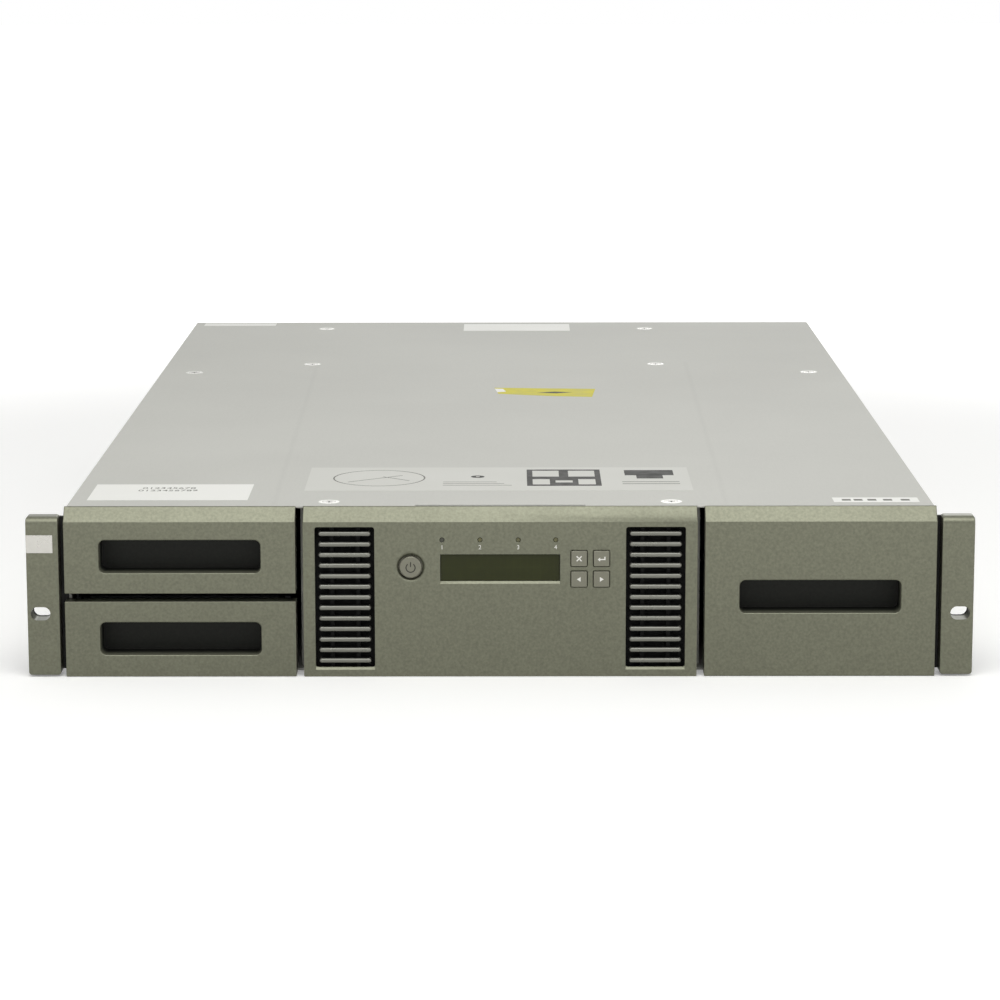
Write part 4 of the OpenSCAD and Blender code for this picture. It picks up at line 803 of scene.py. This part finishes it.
smallLabelSet = {
    "spans": (((169.5, 213.0), (16.0, 29.0)), ((-27.0, 48.0), (692.0, 729.0)),
              ((-212.6, -161.5), (721.0, 735.0))),
    "marks": (174.0, 180.0, 187.0, 195.0, 204.0), "markWidth": 4.5, "markY": (20.0, 24.5),
}
work = bmesh.new()
for x, y in smallLabelSet["spans"]:
    labelInto(work, x, y)
for x in smallLabelSet["marks"]:
    near, far = smallLabelSet["markY"]
    printInto(work, (x, near), (x + smallLabelSet["markWidth"], far), 1)
finishPiece(work, "coverSmallLabels", "case", [whiteFilm, printGrey])

tapeSet = {                                         # strip of faded yellow tape, torn at one end
    "thick": 0.06, "print": 0.02,
    "outline": ((-4.3, 416.0), (-1.8, 390.5), (12.0, 386.0), (30.0, 381.0), (55.7, 377.0), (58.5, 410.8),
                (24.0, 413.5)),
    "mark": ((22.0, 394.0), (34.0, 392.0), (44.0, 396.0), (33.0, 399.0)),
    "patch": ((-4.0, 412.0), (-2.5, 397.0), (3.0, 399.0), (1.0, 411.0)),
}
work = bmesh.new()
for part, lift, thick, look in (("outline", 0.0, tapeSet["thick"], 0),
                                ("mark", tapeSet["thick"], tapeSet["print"], 1),
                                ("patch", tapeSet["thick"], tapeSet["print"], 2)):
    polygonInto(work, [(x, y, topZ + lift) for x, y in tapeSet[part]], (0, 0, thick), look)
finishPiece(work, "coverYellowTape", "case", [yellowFilm, printBlack, whiteFilm])

# black strip in the notch of the cover's edge: a dark block in the foam finish standing for painted shade in the
# gap under the cover
notchShadeSet = {"half": 42.6, "y": (7.0, 9.9), "below": (1.5, 0.5), "edge": 0.2}
work = bmesh.new()
blockInto(work, (-notchShadeSet["half"], notchShadeSet["y"][0], topZ - notchShadeSet["below"][0]),
          (notchShadeSet["half"], notchShadeSet["y"][1], topZ - notchShadeSet["below"][1]), notchShadeSet["edge"])
finishPiece(work, "coverNotchShadeStrip", "case", [filterFoam])
print("cover made")

# bare badge on the left ear

badgeSet = {"x": (-239.0, -225.6), "z": (63.9, 73.1), "thick": 0.35, "sunk": 0.05, "edge": 0.12}
work = bmesh.new()
blockInto(work, (badgeSet["x"][0], badgeSet["sunk"] - badgeSet["thick"], badgeSet["z"][0]),
          (badgeSet["x"][1], badgeSet["sunk"], badgeSet["z"][1]), badgeSet["edge"])
finishPiece(work, "leftEarBadge", "case", [badgeMetal])

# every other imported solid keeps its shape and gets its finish

finishOf = {
    "floor_pan": zincSheet, "side_walls": zincSheet, "cover_brace": zincSheet, "bay_walls": zincSheet,
    "rear_frame": zincSheet, "front_bulkhead": zincSheet, "rack_brackets": bracketCoat,
    "bracket_screws": screwSteel, "vent_filters": filterFoam, "lcd_module": displayBody,
    "panel_board": boardMask, "left_magazine_casing": magazineAbs, "left_magazine_dividers": magazineAbs,
    "left_magazine_shelves": magazineAbs, "mailslot_tray": magazineAbs, "right_magazine_casing": magazineAbs,
    "right_magazine_dividers": magazineAbs, "right_magazine_shelves": magazineAbs,
    "magazine_tracks": groundRail, "aisle_rails": groundRail, "travel_rack": acetal,
    "robot_carriage": carriageMetal, "robot_motors": motorCan, "travel_pinion": acetal,
    "turn_idler": acetal, "turn_pinion": acetal, "turntable": acetal, "lift_posts": groundRail,
    "lift_screw": leadscrewBrass, "picker_tray": carriageMetal, "gripper": driveAbs,
    "drive_bezel": driveAbs, "drive_case": driveZinc, "drive_tray": zincSheet,
    "drive_faceplate": zincSheet, "drive_handle": handleAbs, "drive_thumbscrews": screwSteel,
    "upper_bay_blank": zincSheet, "psu_case": psuTin, "power_inlet": inletNylon,
    "psu_fan_frame": driveAbs, "psu_fan_rotor": driveAbs, "controller_board": boardMask,
    "ethernet_jack": screwSteel,
}
for nodeName, look in finishOf.items():
    mesh = nodes[nodeName].data
    mesh.materials.clear()
    mesh.materials.append(look)
print("finishes given to the packed solids")

# floor and backdrop

stageSet = {
    "size": 16.0, "drop": 0.2,                      # metres across; mm under the object, so as not to touch it
    "paper": "#f4f4f2", "roughness": 0.9,
    "nearLift": 0.2, "farLift": 1.0, "near": 0.5, "far": 1.4,   # plain white from near to far
}


def makeStage(settings):
    work = bmesh.new()
    bmesh.ops.create_grid(work, x_segments=1, y_segments=1, size=settings["size"] / 2)
    mesh = bpy.data.meshes.new("studioFloor")
    work.to_mesh(mesh)
    work.free()
    floor = bpy.data.objects.new("studioFloor", mesh)
    bpy.context.scene.collection.objects.link(floor)
    floor.location.z = -settings["drop"] * mm
    material = bpy.data.materials.new("studioPaper")
    material.use_nodes = True
    tree = material.node_tree
    shader = tree.nodes["Principled BSDF"]
    shader.inputs["Base Color"].default_value = srgb(settings["paper"])
    shader.inputs["Roughness"].default_value = settings["roughness"]
    seen = addNode(tree, "ShaderNodeLightPath")
    direct = addNode(tree, "ShaderNodeMath", {"operation": "MAXIMUM"},
                     {0: seen.outputs["Is Camera Ray"], 1: seen.outputs["Is Glossy Ray"]})
    place = addNode(tree, "ShaderNodeTexCoord")
    away = addNode(tree, "ShaderNodeVectorMath", {"operation": "LENGTH"}, {0: place.outputs["Object"]})
    spread = addNode(tree, "ShaderNodeMapRange", {"interpolation_type": "SMOOTHSTEP",
                                                  "From Min": settings["near"], "From Max": settings["far"],
                                                  "To Min": settings["nearLift"], "To Max": settings["farLift"]},
                     {"Value": away.outputs["Value"]})
    lift = addNode(tree, "ShaderNodeMath", {"operation": "MULTIPLY"},
                   {0: direct.outputs["Value"], 1: spread.outputs["Result"]})
    shader.inputs["Emission Color"].default_value = (1.0, 1.0, 1.0, 1.0)
    tree.links.new(lift.outputs["Value"], shader.inputs["Emission Strength"])
    mesh.materials.append(material)


def makeWorld(level):
    # soft light of the given level on the object, and plain white where the camera, gloss or glass sees it
    world = bpy.data.worlds.new("studioLight")
    bpy.context.scene.world = world
    world.use_nodes = True
    tree = world.node_tree
    background = tree.nodes["Background"]
    seen = addNode(tree, "ShaderNodeLightPath")
    first = addNode(tree, "ShaderNodeMath", {"operation": "MAXIMUM"},
                    {0: seen.outputs["Is Camera Ray"], 1: seen.outputs["Is Glossy Ray"]})
    direct = addNode(tree, "ShaderNodeMath", {"operation": "MAXIMUM"},
                     {0: first.outputs["Value"], 1: seen.outputs["Is Transmission Ray"]})
    strength = addNode(tree, "ShaderNodeMapRange", {"To Min": level, "To Max": 1.0},
                       {"Value": direct.outputs["Value"]})
    tree.links.new(strength.outputs["Result"], background.inputs["Strength"])
    background.inputs["Color"].default_value = (1.0, 1.0, 1.0, 1.0)


makeStage(stageSet)
makeWorld(lightSet["worldLevel"])
